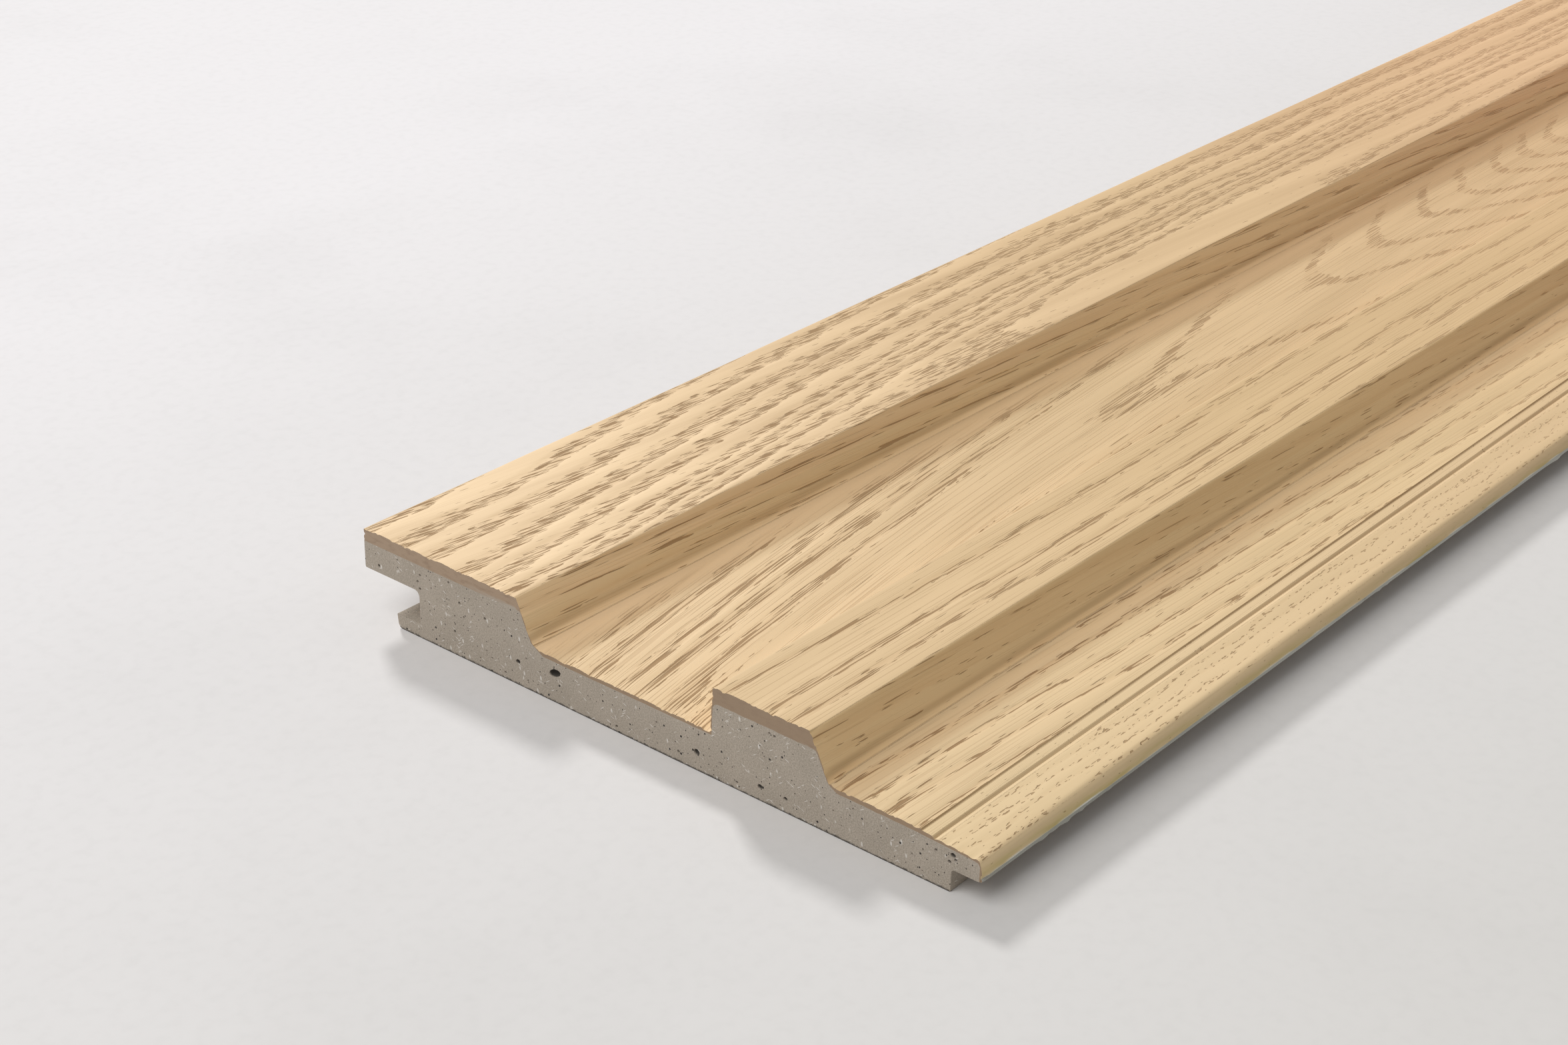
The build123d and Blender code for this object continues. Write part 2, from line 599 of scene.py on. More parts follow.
class RingPorousGrain(EffectGroup):
    """Growth rings whose early wood is a band of open pores, with fine lines along the fibre.

    Grain is the distance along the board, the distance across the fibre and the count of rings.
    Figure is the share of pores in a band, the share between bands and the strength of the lines.
    """

    title = "ring_porous_grain"
    takes = (
        ("Grain", "NodeSocketVector"),
        ("Figure", "NodeSocketVector"),
        ("Pore Length", "NodeSocketFloat"),
        ("Pore Width", "NodeSocketFloat"),
        ("Band Share", "NodeSocketFloat"),
        ("Line Pitch", "NodeSocketFloat"),
    )
    gives = ("Pores", "Band", "Lines", "Tone", "Height")
    hatch_share: ClassVar[float] = 0.85
    deep_share: ClassVar[float] = 0.35
    deep_length: ClassVar[float] = 2.0
    deep_width: ClassVar[float] = 1.3
    deep_shift: ClassVar[float] = 31.7
    line_length: ClassVar[float] = 55.0
    line_span: ClassVar[Span] = (0.53, 0.64)
    line_depth: ClassVar[float] = 0.35
    tone_cell: ClassVar[Wave] = (210.0, 9.0, 4.0)
    wander_cell: ClassVar[Wave] = (24.0, 5.0, 0.0)
    wander_share: ClassVar[float] = 0.34
    ragged_cell: ClassVar[Wave] = (5.0, 0.8, 9.0)
    ragged_share: ClassVar[float] = 0.3
    soft_side: ClassVar[float] = 0.58
    sharp_side: ClassVar[float] = 0.95
    crowding: ClassVar[float] = 0.25
    stroke_span: ClassVar[Span] = (0.722, 0.778)
    dash_span: ClassVar[Span] = (0.16, 0.28)
    shown_span: ClassVar[Span] = (-0.03, 0.06)

    @classmethod
    def draw(cls, sheet: NodeSheet, given: dict[str, Socket]) -> dict[str, Socket]:
        """Draws the bands, the pores in them and the lines."""
        along, fibre, ring = sheet.split(given["Grain"])
        crowd, stray, lining = sheet.split(given["Figure"])
        band = cls.band(sheet, along, fibre, ring, given["Band Share"])
        share = sheet.math("MULTIPLY_ADD", band, crowd, stray)
        length, width = given["Pore Length"], given["Pore Width"]
        hatched = cls.strokes(sheet, along, fibre, length, width, share)
        long = sheet.math("MULTIPLY", length, cls.deep_length)
        wide = sheet.math("MULTIPLY", width, cls.deep_width)
        fewer = sheet.math("MULTIPLY", share, cls.deep_share)
        deep = cls.pores(sheet, along, fibre, long, wide, fewer)
        pores = sheet.math("MAXIMUM", sheet.math("MULTIPLY", hatched, cls.hatch_share), deep)
        drawn = cls.celled(sheet, along, fibre, cls.line_length, given["Line Pitch"], 0.0)
        streak = sheet.noise(drawn, detail=1.0)
        lines = sheet.math("MULTIPLY", sheet.step(streak, *cls.line_span), lining)
        tone = sheet.noise(cls.celled(sheet, along, fibre, *cls.tone_cell), detail=3.0)
        cut = sheet.math("MULTIPLY_ADD", lines, cls.line_depth, pores)
        height = sheet.math("MULTIPLY", cut, -1.0)
        return {"Pores": pores, "Band": band, "Lines": lines, "Tone": tone, "Height": height}

    @staticmethod
    def celled(
        sheet: NodeSheet, along: Socket, fibre: Socket, length: object, width: object, level: float
    ) -> Socket:
        """Scales the grain's plane to a pattern's cells.

        Args:
            sheet: The group's sheet.
            along: Distance along the board.
            fibre: Distance across the fibre.
            length: A cell's length.
            width: A cell's width.
            level: Sets this pattern apart from others.

        Returns:
            The place, in cells.
        """
        return sheet.join(sheet.math("DIVIDE", along, length), sheet.math("DIVIDE", fibre, width), level)

    @classmethod
    def band(cls, sheet: NodeSheet, along: Socket, fibre: Socket, ring: Socket, share: Socket) -> Socket:
        """Draws the pore bands, soft on the old side and sharp on the new.

        Args:
            sheet: The group's sheet.
            along: Distance along the board.
            fibre: Distance across the fibre.
            ring: Count of rings.
            share: A band's share of its ring.

        Returns:
            The bands' strength.
        """
        moved = ring
        for cell, strength in ((cls.wander_cell, cls.wander_share), (cls.ragged_cell, cls.ragged_share)):
            noise = sheet.noise(cls.celled(sheet, along, fibre, *cell))
            moved = sheet.math("MULTIPLY_ADD", sheet.math("SUBTRACT", noise, 0.5), strength, moved)
        part = sheet.math("FRACT", moved)
        start = sheet.math("SUBTRACT", 1.0, share)
        full = sheet.math("MULTIPLY_ADD", share, -cls.soft_side, 1.0)
        rise = sheet.step(part, start, full)
        fall = sheet.step(part, cls.sharp_side, 1.0, 1.0, 0.0)
        return sheet.math("MULTIPLY", rise, fall)

    @classmethod
    def strokes(
        cls, sheet: NodeSheet, along: Socket, fibre: Socket, length: Socket, width: Socket, share: Socket
    ) -> Socket:
        """Draws fine strokes along the fibre, close together where there are many pores.

        Args:
            sheet: The group's sheet.
            along: Distance along the board.
            fibre: Distance across the fibre.
            length: Length of a stroke.
            width: About half the pitch of the strokes.
            share: How many pores there are.

        Returns:
            The strokes' strength.
        """
        drawn = cls.celled(sheet, along, fibre, length, width, 2.0)
        crowded = sheet.math("MULTIPLY_ADD", share, cls.crowding, sheet.noise(drawn, detail=1.0))
        return sheet.step(crowded, *cls.stroke_span)

    @classmethod
    def pores(
        cls, sheet: NodeSheet, along: Socket, fibre: Socket, length: Socket, width: Socket, share: Socket
    ) -> Socket:
        """Draws the deep pores, as short dashes along the fibre.

        Args:
            sheet: The group's sheet.
            along: Distance along the board.
            fibre: Distance across the fibre.
            length: Pitch of the pores along the fibre.
            width: Their pitch across it.
            share: How many of them show.

        Returns:
            The pores' strength.
        """
        u = sheet.math("ADD", sheet.math("DIVIDE", along, length), cls.deep_shift)
        v = sheet.math("ADD", sheet.math("DIVIDE", fibre, width), cls.deep_shift)
        distance, colour = sheet.cells(sheet.join(u, v))
        chance, weight, _ = sheet.split(colour)
        dash = sheet.step(distance, *cls.dash_span, 1.0, 0.0)
        shown = sheet.step(sheet.math("SUBTRACT", share, chance), *cls.shown_span)
        deep = sheet.math("MULTIPLY_ADD", weight, 0.5, 0.5)
        return sheet.math("MULTIPLY", sheet.math("MULTIPLY", dash, shown), deep)


class FilledResin(EffectGroup):
    """Foamed resin with chopped fibre and tiny bubbles in it. Place is in millimetres."""

    title = "filled_resin"
    takes = (
        ("Place", "NodeSocketVector"),
        ("Fibre Share", "NodeSocketFloat"),
        ("Bubble Share", "NodeSocketFloat"),
    )
    gives = ("Fibres", "Bubbles", "Mottle", "Height")

    @classmethod
    def draw(cls, sheet: NodeSheet, given: dict[str, Socket]) -> dict[str, Socket]:
        """Draws fibres in three directions, bubbles of two sizes, and mottling."""
        place = given["Place"]
        patch = sheet.step(sheet.noise(cls.scaled(sheet, place, (0.16, 0.16, 0.16))), 0.42, 0.62)
        share = sheet.math("MULTIPLY", given["Fibre Share"], sheet.math("MULTIPLY_ADD", patch, 0.9, 0.2))
        fibres = None
        for turn, shift in ((0.5, 0.0), (-0.6, 7.0), (1.5, 3.0)):
            turned = sheet.add("ShaderNodeMapping")
            turned.inputs["Location"].default_value = (shift, shift, shift)
            turned.inputs["Rotation"].default_value = (turn, 0.3 * turn, 0.8 * turn)
            turned.vector_type = "TEXTURE"
            turned.inputs["Scale"].default_value = (3.0, 3.0, 0.5)
            sheet.feed(turned.inputs["Vector"], place)
            distance, colour = sheet.cells(turned.outputs[0], solid=True)
            chance = sheet.split(colour)[0]
            thread = sheet.step(distance, 0.14, 0.3, 1.0, 0.0)
            shown = sheet.step(sheet.math("SUBTRACT", share, chance), -0.02, 0.02)
            one = sheet.math("MULTIPLY", thread, shown)
            fibres = one if fibres is None else sheet.math("MAXIMUM", fibres, one)
        bubbles = None
        for pitch, radius in ((0.85, 0.24), (1.9, 0.2)):
            spread = sheet.add("ShaderNodeMapping")
            spread.inputs["Scale"].default_value = (1.0 / pitch,) * 3
            sheet.feed(spread.inputs["Vector"], place)
            distance, colour = sheet.cells(spread.outputs[0], solid=True)
            chance = sheet.split(colour)[1]
            pit = sheet.step(distance, radius * 0.7, radius, 1.0, 0.0)
            shown = sheet.step(sheet.math("SUBTRACT", given["Bubble Share"], chance), -0.02, 0.02)
            one = sheet.math("MULTIPLY", pit, shown)
            bubbles = one if bubbles is None else sheet.math("MAXIMUM", bubbles, one)
        coarse = sheet.noise(cls.scaled(sheet, place, (0.11, 0.11, 0.11)), detail=3.0)
        fine = sheet.noise(cls.scaled(sheet, place, (2.4, 2.4, 2.4)), detail=3.0, roughness=0.7)
        mottle = sheet.math("MULTIPLY_ADD", fine, 0.82, sheet.math("MULTIPLY", coarse, 0.18))
        raised = sheet.math("MULTIPLY_ADD", fibres, 0.25, fine)
        height = sheet.math("SUBTRACT", raised, bubbles)
        return {"Fibres": fibres, "Bubbles": bubbles, "Mottle": mottle, "Height": height}

    @staticmethod
    def scaled(sheet: NodeSheet, place: Socket, scale: tuple[float, float, float]) -> Socket:
        """Returns a place scaled to a pattern's own units."""
        node = sheet.add("ShaderNodeVectorMath", operation="MULTIPLY")
        sheet.feed(node.inputs[0], place)
        node.inputs[1].default_value = scale
        return node.outputs[0]


def new_material(name: str) -> tuple[bpy.types.Material, NodeSheet, bpy.types.Node]:
    """Starts a material.

    Args:
        name: Its name.

    Returns:
        The material, its sheet and its Principled shader.
    """
    material = bpy.data.materials.new(name)
    material.use_nodes = True
    sheet = NodeSheet(material.node_tree)
    return material, sheet, material.node_tree.nodes["Principled BSDF"]


@dataclass(frozen=True)
class GrainedSkin:
    """The matt face of the board: a pale straw coat with darker pores, bands and lines, with light and shade
    painted on it along the board, on its slopes, along its creases and beside the slope feet.
    """

    name: str
    pale: Colour = rgb(0.925, 0.685, 0.415)
    tan: Colour = rgb(0.775, 0.557, 0.324)
    # Painted fall-off of light: away from the near end the face is painted darker, and further along its
    # colour changes again.
    falloff_shade: Colour = rgb(0.84, 0.8, 0.735)
    falloff_from: float = 30.0
    falloff_to: float = 230.0
    distant: Colour = rgb(1.03, 0.98, 0.985)
    distant_from: float = 240.0
    distant_to: float = 560.0
    band: Colour = rgb(0.62, 0.4, 0.2)
    line: Colour = rgb(0.44, 0.27, 0.125)
    pore: Colour = rgb(0.28, 0.155, 0.065)
    # Painted shade along the foot of each slope, the lap step and the fixing groove.
    crease_shade: Colour = rgb(0.36, 0.22, 0.1)
    # Painted light on the slopes: they are painted lighter and warmer, and darker again far along.
    slope_light: Colour = rgb(1.055, 1.06, 1.04)
    # Painted bounce light: lighter and warmer on the floor beside each slope.
    bounce_light: Colour = rgb(1.08, 1.045, 1.04)
    far_pore: Colour = rgb(0.36, 0.19, 0.095)
    far_slope_shade: Colour = rgb(0.925, 0.91, 0.91)
    slope_falloff_kept: float = 0.45
    far_band: float = 0.12
    far_fade: float = 0.15
    band_strength: float = 0.2
    line_strength: float = 0.5
    pore_strength: float = 0.95
    pore_length: float = 6.5
    pore_width: float = 0.66
    line_pitch: float = 0.6
    tone_span: Span = (0.3, 0.72)
    relief: float = 0.4
    relief_share: float = 0.7
    roughness: float = 0.62
    pore_roughness: float = 0.85
    shine: float = 0.3

    def material(self) -> bpy.types.Material:
        """Builds the material."""
        material, sheet, shader = new_material(self.name)
        place = sheet.field("grain")
        grain = RingPorousGrain.use(
            sheet,
            Grain=place,
            Figure=sheet.field("figure"),
            Pore_Length=self.pore_length,
            Pore_Width=self.pore_width,
            Band_Share=BAND_SHARE,
            Line_Pitch=self.line_pitch,
        )
        along, drawn, slope_light = sheet.mask("run"), sheet.mask("drawn"), sheet.mask("slope_light")
        further = sheet.ramp(along, self.falloff_from, self.falloff_to)
        furthest = sheet.ramp(along, self.distant_from, self.distant_to)
        colour = sheet.blend(sheet.step(grain["Tone"], *self.tone_span), self.pale, self.tan)
        # Further along, bands are painted stronger and pores fainter and redder, part of the same painted
        # fall-off of light.
        banded = sheet.math("MULTIPLY_ADD", furthest, self.far_band, self.band_strength)
        pored = sheet.math("MULTIPLY_ADD", furthest, -self.far_fade, self.pore_strength)
        for part, strength, stain in (
            (grain["Band"], banded, self.band),
            (grain["Lines"], self.line_strength, self.line),
            (grain["Pores"], pored, sheet.blend(furthest, self.pore, self.far_pore)),
        ):
            share = sheet.math("MULTIPLY", sheet.math("MULTIPLY", part, strength), drawn)
            colour = sheet.blend(share, colour, stain)
        # Painted light on the slopes, and painted shade on them far along.
        colour = sheet.blend(slope_light, colour, self.slope_light, mode="MULTIPLY")
        colour = sheet.blend(sheet.math("MULTIPLY", slope_light, furthest), colour, self.far_slope_shade, mode="MULTIPLY")
        # Painted bounce light on the floor beside each slope.
        colour = sheet.blend(sheet.mask("bounce_light"), colour, self.bounce_light, mode="MULTIPLY")
        # Painted shade along creases and steps.
        colour = sheet.blend(sheet.mask("crease_shade"), colour, self.crease_shade)
        colour = self.finish_edge(sheet, colour)
        # Painted fall-off of light: away from the near end the face is painted darker, less so on the slopes.
        falloff_share = sheet.math("MULTIPLY", further, sheet.math("MULTIPLY_ADD", slope_light, -self.slope_falloff_kept, 1.0))
        colour = sheet.blend(falloff_share, colour, self.falloff_shade, mode="MULTIPLY")
        # Further along still the colour changes again, part of the same painted fall-off of light.
        colour = sheet.blend(furthest, colour, self.distant, mode="MULTIPLY")
        sheet.feed(shader.inputs["Base Color"], colour)
        rough = sheet.step(grain["Pores"], 0.0, 1.0, self.roughness, self.pore_roughness)
        sheet.feed(shader.inputs["Roughness"], rough)
        shader.inputs["Specular IOR Level"].default_value = self.shine
        height = sheet.math("MULTIPLY", grain["Height"], drawn)
        sheet.feed(shader.inputs["Normal"], sheet.bump(height, self.relief_share, self.relief))
        return material

    def finish_edge(self, sheet: NodeSheet, colour: Socket) -> Socket:
        """Leaves the colour as it is where the strip has no edge of its own."""
        return colour


@dataclass(frozen=True)
class TongueSkin(GrainedSkin):
    """The tongue's face, greener round its nose and pale where the film was trimmed."""

    nose: Colour = rgb(0.56, 0.45, 0.16)
    trimmed: Colour = rgb(0.9, 0.9, 0.84)

    def finish_edge(self, sheet: NodeSheet, colour: Socket) -> Socket:
        """Tints the nose and its trimmed edge.

        Args:
            sheet: The material's sheet.
            colour: The face's colour.

        Returns:
            The tinted colour.
        """
        place = FilledResin.scaled(sheet, sheet.place(), (0.05, 0.3, 0.3))
        cloudy = sheet.step(sheet.noise(place, detail=3.0), 0.35, 0.7, 0.25, 0.95)
        tinted = sheet.blend(sheet.math("MULTIPLY", sheet.mask("nose"), cloudy), colour, self.nose)
        return sheet.blend(sheet.mask("trimmed"), tinted, self.trimmed)


@dataclass(frozen=True)
class SawnSkin:
    """The skin where the saw went through it: brown, and greyer where it joins the core."""

    name: str
    outer: Colour = rgb(0.335, 0.232, 0.147)
    inner: Colour = rgb(0.42, 0.362, 0.295)
    streak: Colour = rgb(0.29, 0.2, 0.132)
    fade_from: float = 0.0
    fade_to: float = 0.16
    waver: float = 0.35
    streak_share: float = 0.7
    roughness: Span = (0.6, 0.85)
    relief: float = 0.1
    relief_share: float = 0.35

    def material(self) -> bpy.types.Material:
        """Builds the material."""
        material, sheet, shader = new_material(self.name)
        place = sheet.place()
        cloud = sheet.noise(FilledResin.scaled(sheet, place, (0.3, 0.3, 0.9)), detail=3.0)
        grit = sheet.noise(FilledResin.scaled(sheet, place, (3.0, 3.0, 3.0)), detail=2.0)
        moved = sheet.math("SUBTRACT", cloud, 0.5)
        wavy = sheet.math("MULTIPLY_ADD", moved, self.waver, sheet.mask("exposed"))
        shown = sheet.step(wavy, self.fade_from, self.fade_to)
        brown = sheet.blend(sheet.step(cloud, 0.45, 0.75, 0.0, self.streak_share), self.outer, self.streak)
        colour = sheet.blend(shown, self.inner, brown)
        sheet.feed(shader.inputs["Base Color"], colour)
        sheet.feed(shader.inputs["Roughness"], sheet.step(grit, 0.2, 0.8, *self.roughness))
        sheet.feed(shader.inputs["Normal"], sheet.bump(grit, self.relief_share, self.relief))
        return material


@dataclass(frozen=True)
class CoreResin:
    """The grey core, sawn or moulded."""

    name: str
    fibre_share: float = 0.08
    bubble_share: float = 0.03
    light: Colour = rgb(0.49, 0.424, 0.349)
    dark: Colour = rgb(0.35, 0.302, 0.244)
    fibre: Colour = rgb(0.67, 0.625, 0.565)
    # Painted shade: near black, for the shade in bubbles, voids and along a sawn end's lower edge.
    painted_shade: Colour = rgb(0.05, 0.045, 0.04)
    mottle_span: Span = (0.36, 0.64)
    roughness: Span = (0.7, 0.92)
    shine: float = 0.25
    grit: float = 0.25
    grit_share: float = 0.5

    def material(self, half_length: float) -> bpy.types.Material:
        """Builds the material.

        Args:
            half_length: Distance of the sawn ends from the middle, in metres.

        Returns:
            The material.
        """
        material, sheet, shader = new_material(self.name)
        resin = FilledResin.use(
            sheet, Place=sheet.place(), Fibre_Share=self.fibre_share, Bubble_Share=self.bubble_share
        )
        colour = sheet.blend(sheet.step(resin["Mottle"], *self.mottle_span), self.dark, self.light)
        colour = sheet.blend(resin["Fibres"], colour, self.fibre)
        # Painted shade in the tiny bubble pits.
        colour = sheet.blend(resin["Bubbles"], colour, self.painted_shade)
        colour = self.finish_end(sheet, colour, half_length)
        sheet.feed(shader.inputs["Base Color"], colour)
        rough = sheet.step(resin["Mottle"], 0.3, 0.7, *self.roughness)
        sheet.feed(shader.inputs["Roughness"], rough)
        shader.inputs["Specular IOR Level"].default_value = self.shine
        sheet.feed(shader.inputs["Normal"], sheet.bump(resin["Height"], self.grit_share, self.grit))
        return material

    def finish_end(self, sheet: NodeSheet, colour: Socket, half_length: float) -> Socket:
        """Leaves the colour as it is on moulded faces."""
        return colour


@dataclass(frozen=True)
class SawnResin(CoreResin):
    """The core at a sawn end, with shade painted down in its voids and a contact shadow painted along its
    lower edge.
    """

    fibre_share: float = 0.24
    bubble_share: float = 0.14
    void_depth: float = 0.55
    contact_shade_height: float = 1.0

    def finish_end(self, sheet: NodeSheet, colour: Socket, half_length: float) -> Socket:
        """Paints shade in the voids and a ragged contact shadow along the lower edge.

        Args:
            sheet: The material's sheet.
            colour: The resin's colour.
            half_length: Distance of the sawn ends from the middle, in metres.

        Returns:
            The darkened colour.
        """
        along, _, up = sheet.split(sheet.place(1.0))
        # Painted shade down in the voids, darker deeper in.
        depth = sheet.math("SUBTRACT", half_length, sheet.math("ABSOLUTE", along))
        deep = sheet.step(depth, 0.05 * MM, self.void_depth * MM, 0.0, 0.9)
        # Painted contact shadow, ragged, along the lower edge.
        chips = sheet.noise(FilledResin.scaled(sheet, sheet.place(), (0.8, 0.8, 0.8)), detail=3.0)
        ragged = sheet.math("MULTIPLY_ADD", chips, -1.2 * self.contact_shade_height * MM, up)
        low = sheet.step(ragged, -0.5 * self.contact_shade_height * MM, 0.1 * self.contact_shade_height * MM, 0.9, 0.0)
        return sheet.blend(sheet.math("MAXIMUM", deep, low), colour, self.painted_shade)


@dataclass(frozen=True)
class StudioFloor:
    """A pale, faintly smudged floor with a painted fall-off of light: a little darker in a wide soft strip
    beside the tongue.
    """

    near: Colour = rgb(0.685, 0.667, 0.643)
    far: Colour = rgb(0.857, 0.833, 0.837)
    near_side: float = -0.2
    far_side: float = 0.36
    strip_side: float = -0.5
    plain_side: float = -2.2
    soil: Colour = rgb(0.45, 0.44, 0.42)
    smudge_share: float = 0.1
    speck_share: float = 0.07
    roughness: float = 0.75
    shine: float = 0.2

    def material(self) -> bpy.types.Material:
        """Builds the material."""
        material, sheet, shader = new_material("studio_floor")
        place = sheet.place(1.0)
        side = sheet.split(place)[1]
        # Painted fall-off of light: the floor is painted darker in a wide soft strip beside the tongue.
        beyond = sheet.step(side, self.plain_side, self.strip_side, 1.0, 0.0)
        painted_light_share = sheet.math("MAXIMUM", sheet.ramp(side, self.near_side, self.far_side), beyond)
        colour = sheet.blend(painted_light_share, self.near, self.far)
        smudge = sheet.noise(FilledResin.scaled(sheet, place, (5.0, 5.0, 5.0)), detail=6.0, roughness=0.65)
        grain = sheet.noise(FilledResin.scaled(sheet, place, (260.0, 260.0, 260.0)), detail=3.0)
        smudged = sheet.math("MULTIPLY", sheet.step(smudge, 0.45, 0.75), self.smudge_share)
        specked = sheet.math("MULTIPLY", sheet.step(grain, 0.4, 0.8), self.speck_share)
        colour = sheet.blend(sheet.math("ADD", smudged, specked), colour, self.soil)
        sheet.feed(shader.inputs["Base Color"], colour)
        shader.inputs["Roughness"].default_value = self.roughness
        shader.inputs["Specular IOR Level"].default_value = self.shine
        return material


@dataclass(frozen=True)
class Figure:
    """The wood figure pressed into one flat of the face.

    Places are the distance along the board from its near end and the distance across the flat.
    """

    crowd: float = 0.0
    stray: float = 0.0
    lining: float = 0.3
    recess: float = 0.0
    far_contrast: float = 0.55
    contrast_from: float = 60.0
    contrast_to: float = 700.0
    plain_from: float = 0.0
    plain_to: float = 0.0
    slope_light: float = 0.0
    stretch: float = 1.0
    seed: int = 1
    waves: tuple[Wave, ...] = ()

    def fibre(self, along: np.ndarray, across: np.ndarray) -> np.ndarray:
        """Returns the distance across the fibre."""
        return across

    def ring(self, along: np.ndarray, across: np.ndarray) -> np.ndarray:
        """Returns the count of growth rings, which shows no band where it stays the same."""
        return np.full_like(across, PLAIN_RING)

    @staticmethod
    def count_rings(place: np.ndarray, edges: np.ndarray, widths: np.ndarray) -> np.ndarray:
        """Counts rings so that each band of pores has a width of its own.

        Args:
            place: Distance across the rings.
            edges: Where the bands have their sharp edges, in rising order.
            widths: How wide the bands are before their sharp edges.

        Returns:
            A whole number on each sharp edge, with the band in the last share of the ring before it.
        """
        whole = np.arange(len(edges), dtype=float)
        knots = np.stack([edges - widths, edges], -1).ravel()
        return np.interp(place, knots, np.stack([whole - BAND_SHARE, whole], -1).ravel())

    def drawn(self, along: np.ndarray, across: np.ndarray) -> np.ndarray:
        """Returns how strongly the figure is drawn: less further along, and not at all on a plain side."""
        # Partly painted light: the figure fades further along to stand in for flatter light and softer focus
        # away from the near end, not for wear.
        contrast = 1.0 - (1.0 - self.far_contrast) * ease(along, self.contrast_from, self.contrast_to)
        if self.plain_to > self.plain_from:
            contrast = contrast * ease(across, self.plain_from, self.plain_to)
        return contrast

    def wander(self, along: np.ndarray, across: np.ndarray, pitch: float, spread: float = 25.0) -> np.ndarray:
        """Returns slow noise that differs between flats."""
        return SmoothNoise(self.seed).at(along / pitch, across / spread + 0.37 * self.seed)

    def waved(self, place: np.ndarray, along: np.ndarray, across: np.ndarray) -> np.ndarray:
        """Moves places across the rings by the waves, each with a height, a pitch and a spread."""
        for height, pitch, spread in self.waves:
            place = place + height * self.wander(along, across, pitch, spread)
        return place


@dataclass(frozen=True)
class PlateFigure(Figure):
    """Bands that sweep up to the outer edge from the sawn end, and then run along the board."""

    ring_edges: tuple[float, ...] = (
        -29.0, -18.0, -7.0, 4.5, 17.6, 28.8, 39.0, 48.0, 55.8,
        60.4, 64.8, 70.6, 82.0, 90.0, 98.0, 106.0, 114.0,
    )
    wide_band: float = 7.0
    thin_band: float = 4.2
    thin_from: float = 50.0
    sweep: float = 30.0
    sweep_length: float = 165.0
    sweep_power: float = 1.5
    turn_from: float = 50.0
    turn_spread: float = 2.5
    turn_back: float = 1.55
    turn_start: Span = (90.0, 190.0)
    turn_end: Span = (380.0, 480.0)
    dip: float = 12.0
    dip_length: float = 120.0
    dip_slope: float = 0.05
    later: Span = (430.0, 900.0)
    later_swing: float = 13.0
    later_pitch: float = 420.0
    waves: tuple[Wave, ...] = ((1.5, 55.0, 14.0), (0.7, 17.0, 6.0))

    def fibre(self, along: np.ndarray, across: np.ndarray) -> np.ndarray:
        """Returns the distance across the fibre, which dips most at the sawn end."""
        return across - self.dip_slope * along - self.dip * (1.0 - np.exp(-along / self.dip_length))

    def ring(self, along: np.ndarray, across: np.ndarray) -> np.ndarray:
        """Returns the count of rings, which turn back in tips beside the slope."""
        past = self.turn_spread * np.logaddexp(0.0, (across - self.turn_from) / self.turn_spread)
        turned = ease(along, *self.turn_start) * (1.0 - ease(along, *self.turn_end))
        later = ease(along, *self.later)
        swept = self.sweep * (1.0 - np.exp(-((along / self.sweep_length) ** self.sweep_power)))
        radius = across + swept - self.turn_back * turned * past
        radius = radius + later * self.later_swing * self.wander(along, 0.0 * across, self.later_pitch)
        radius = self.waved(radius, along, across)
        edges = np.array(self.ring_edges)
        bands = np.where(edges < self.thin_from, self.wide_band, self.thin_band)
        return self.count_rings(radius, edges, bands)


@dataclass(frozen=True)
class SlopeFigure(Figure):
    """Rings cut nearly along their length, which run slightly down the slope."""

    # Marks the slopes for their painted light.
    slope_light: float = 1.0
    ring_pitch: float = 4.6
    band: float = 2.0
    fall: float = 0.04
    ring_numbers: Span = (-40.0, 8.0)
    waves: tuple[Wave, ...] = ((1.8, 60.0, 9.0),)

    def fibre(self, along: np.ndarray, across: np.ndarray) -> np.ndarray:
        """Returns the distance across the fibre."""
        return across - self.fall * along

    def ring(self, along: np.ndarray, across: np.ndarray) -> np.ndarray:
        """Returns the count of rings."""
        moved = self.waved(self.fibre(along, across), along, across)
        edges = self.ring_pitch * np.arange(*self.ring_numbers)
        return self.count_rings(moved, edges, np.full_like(edges, self.band))


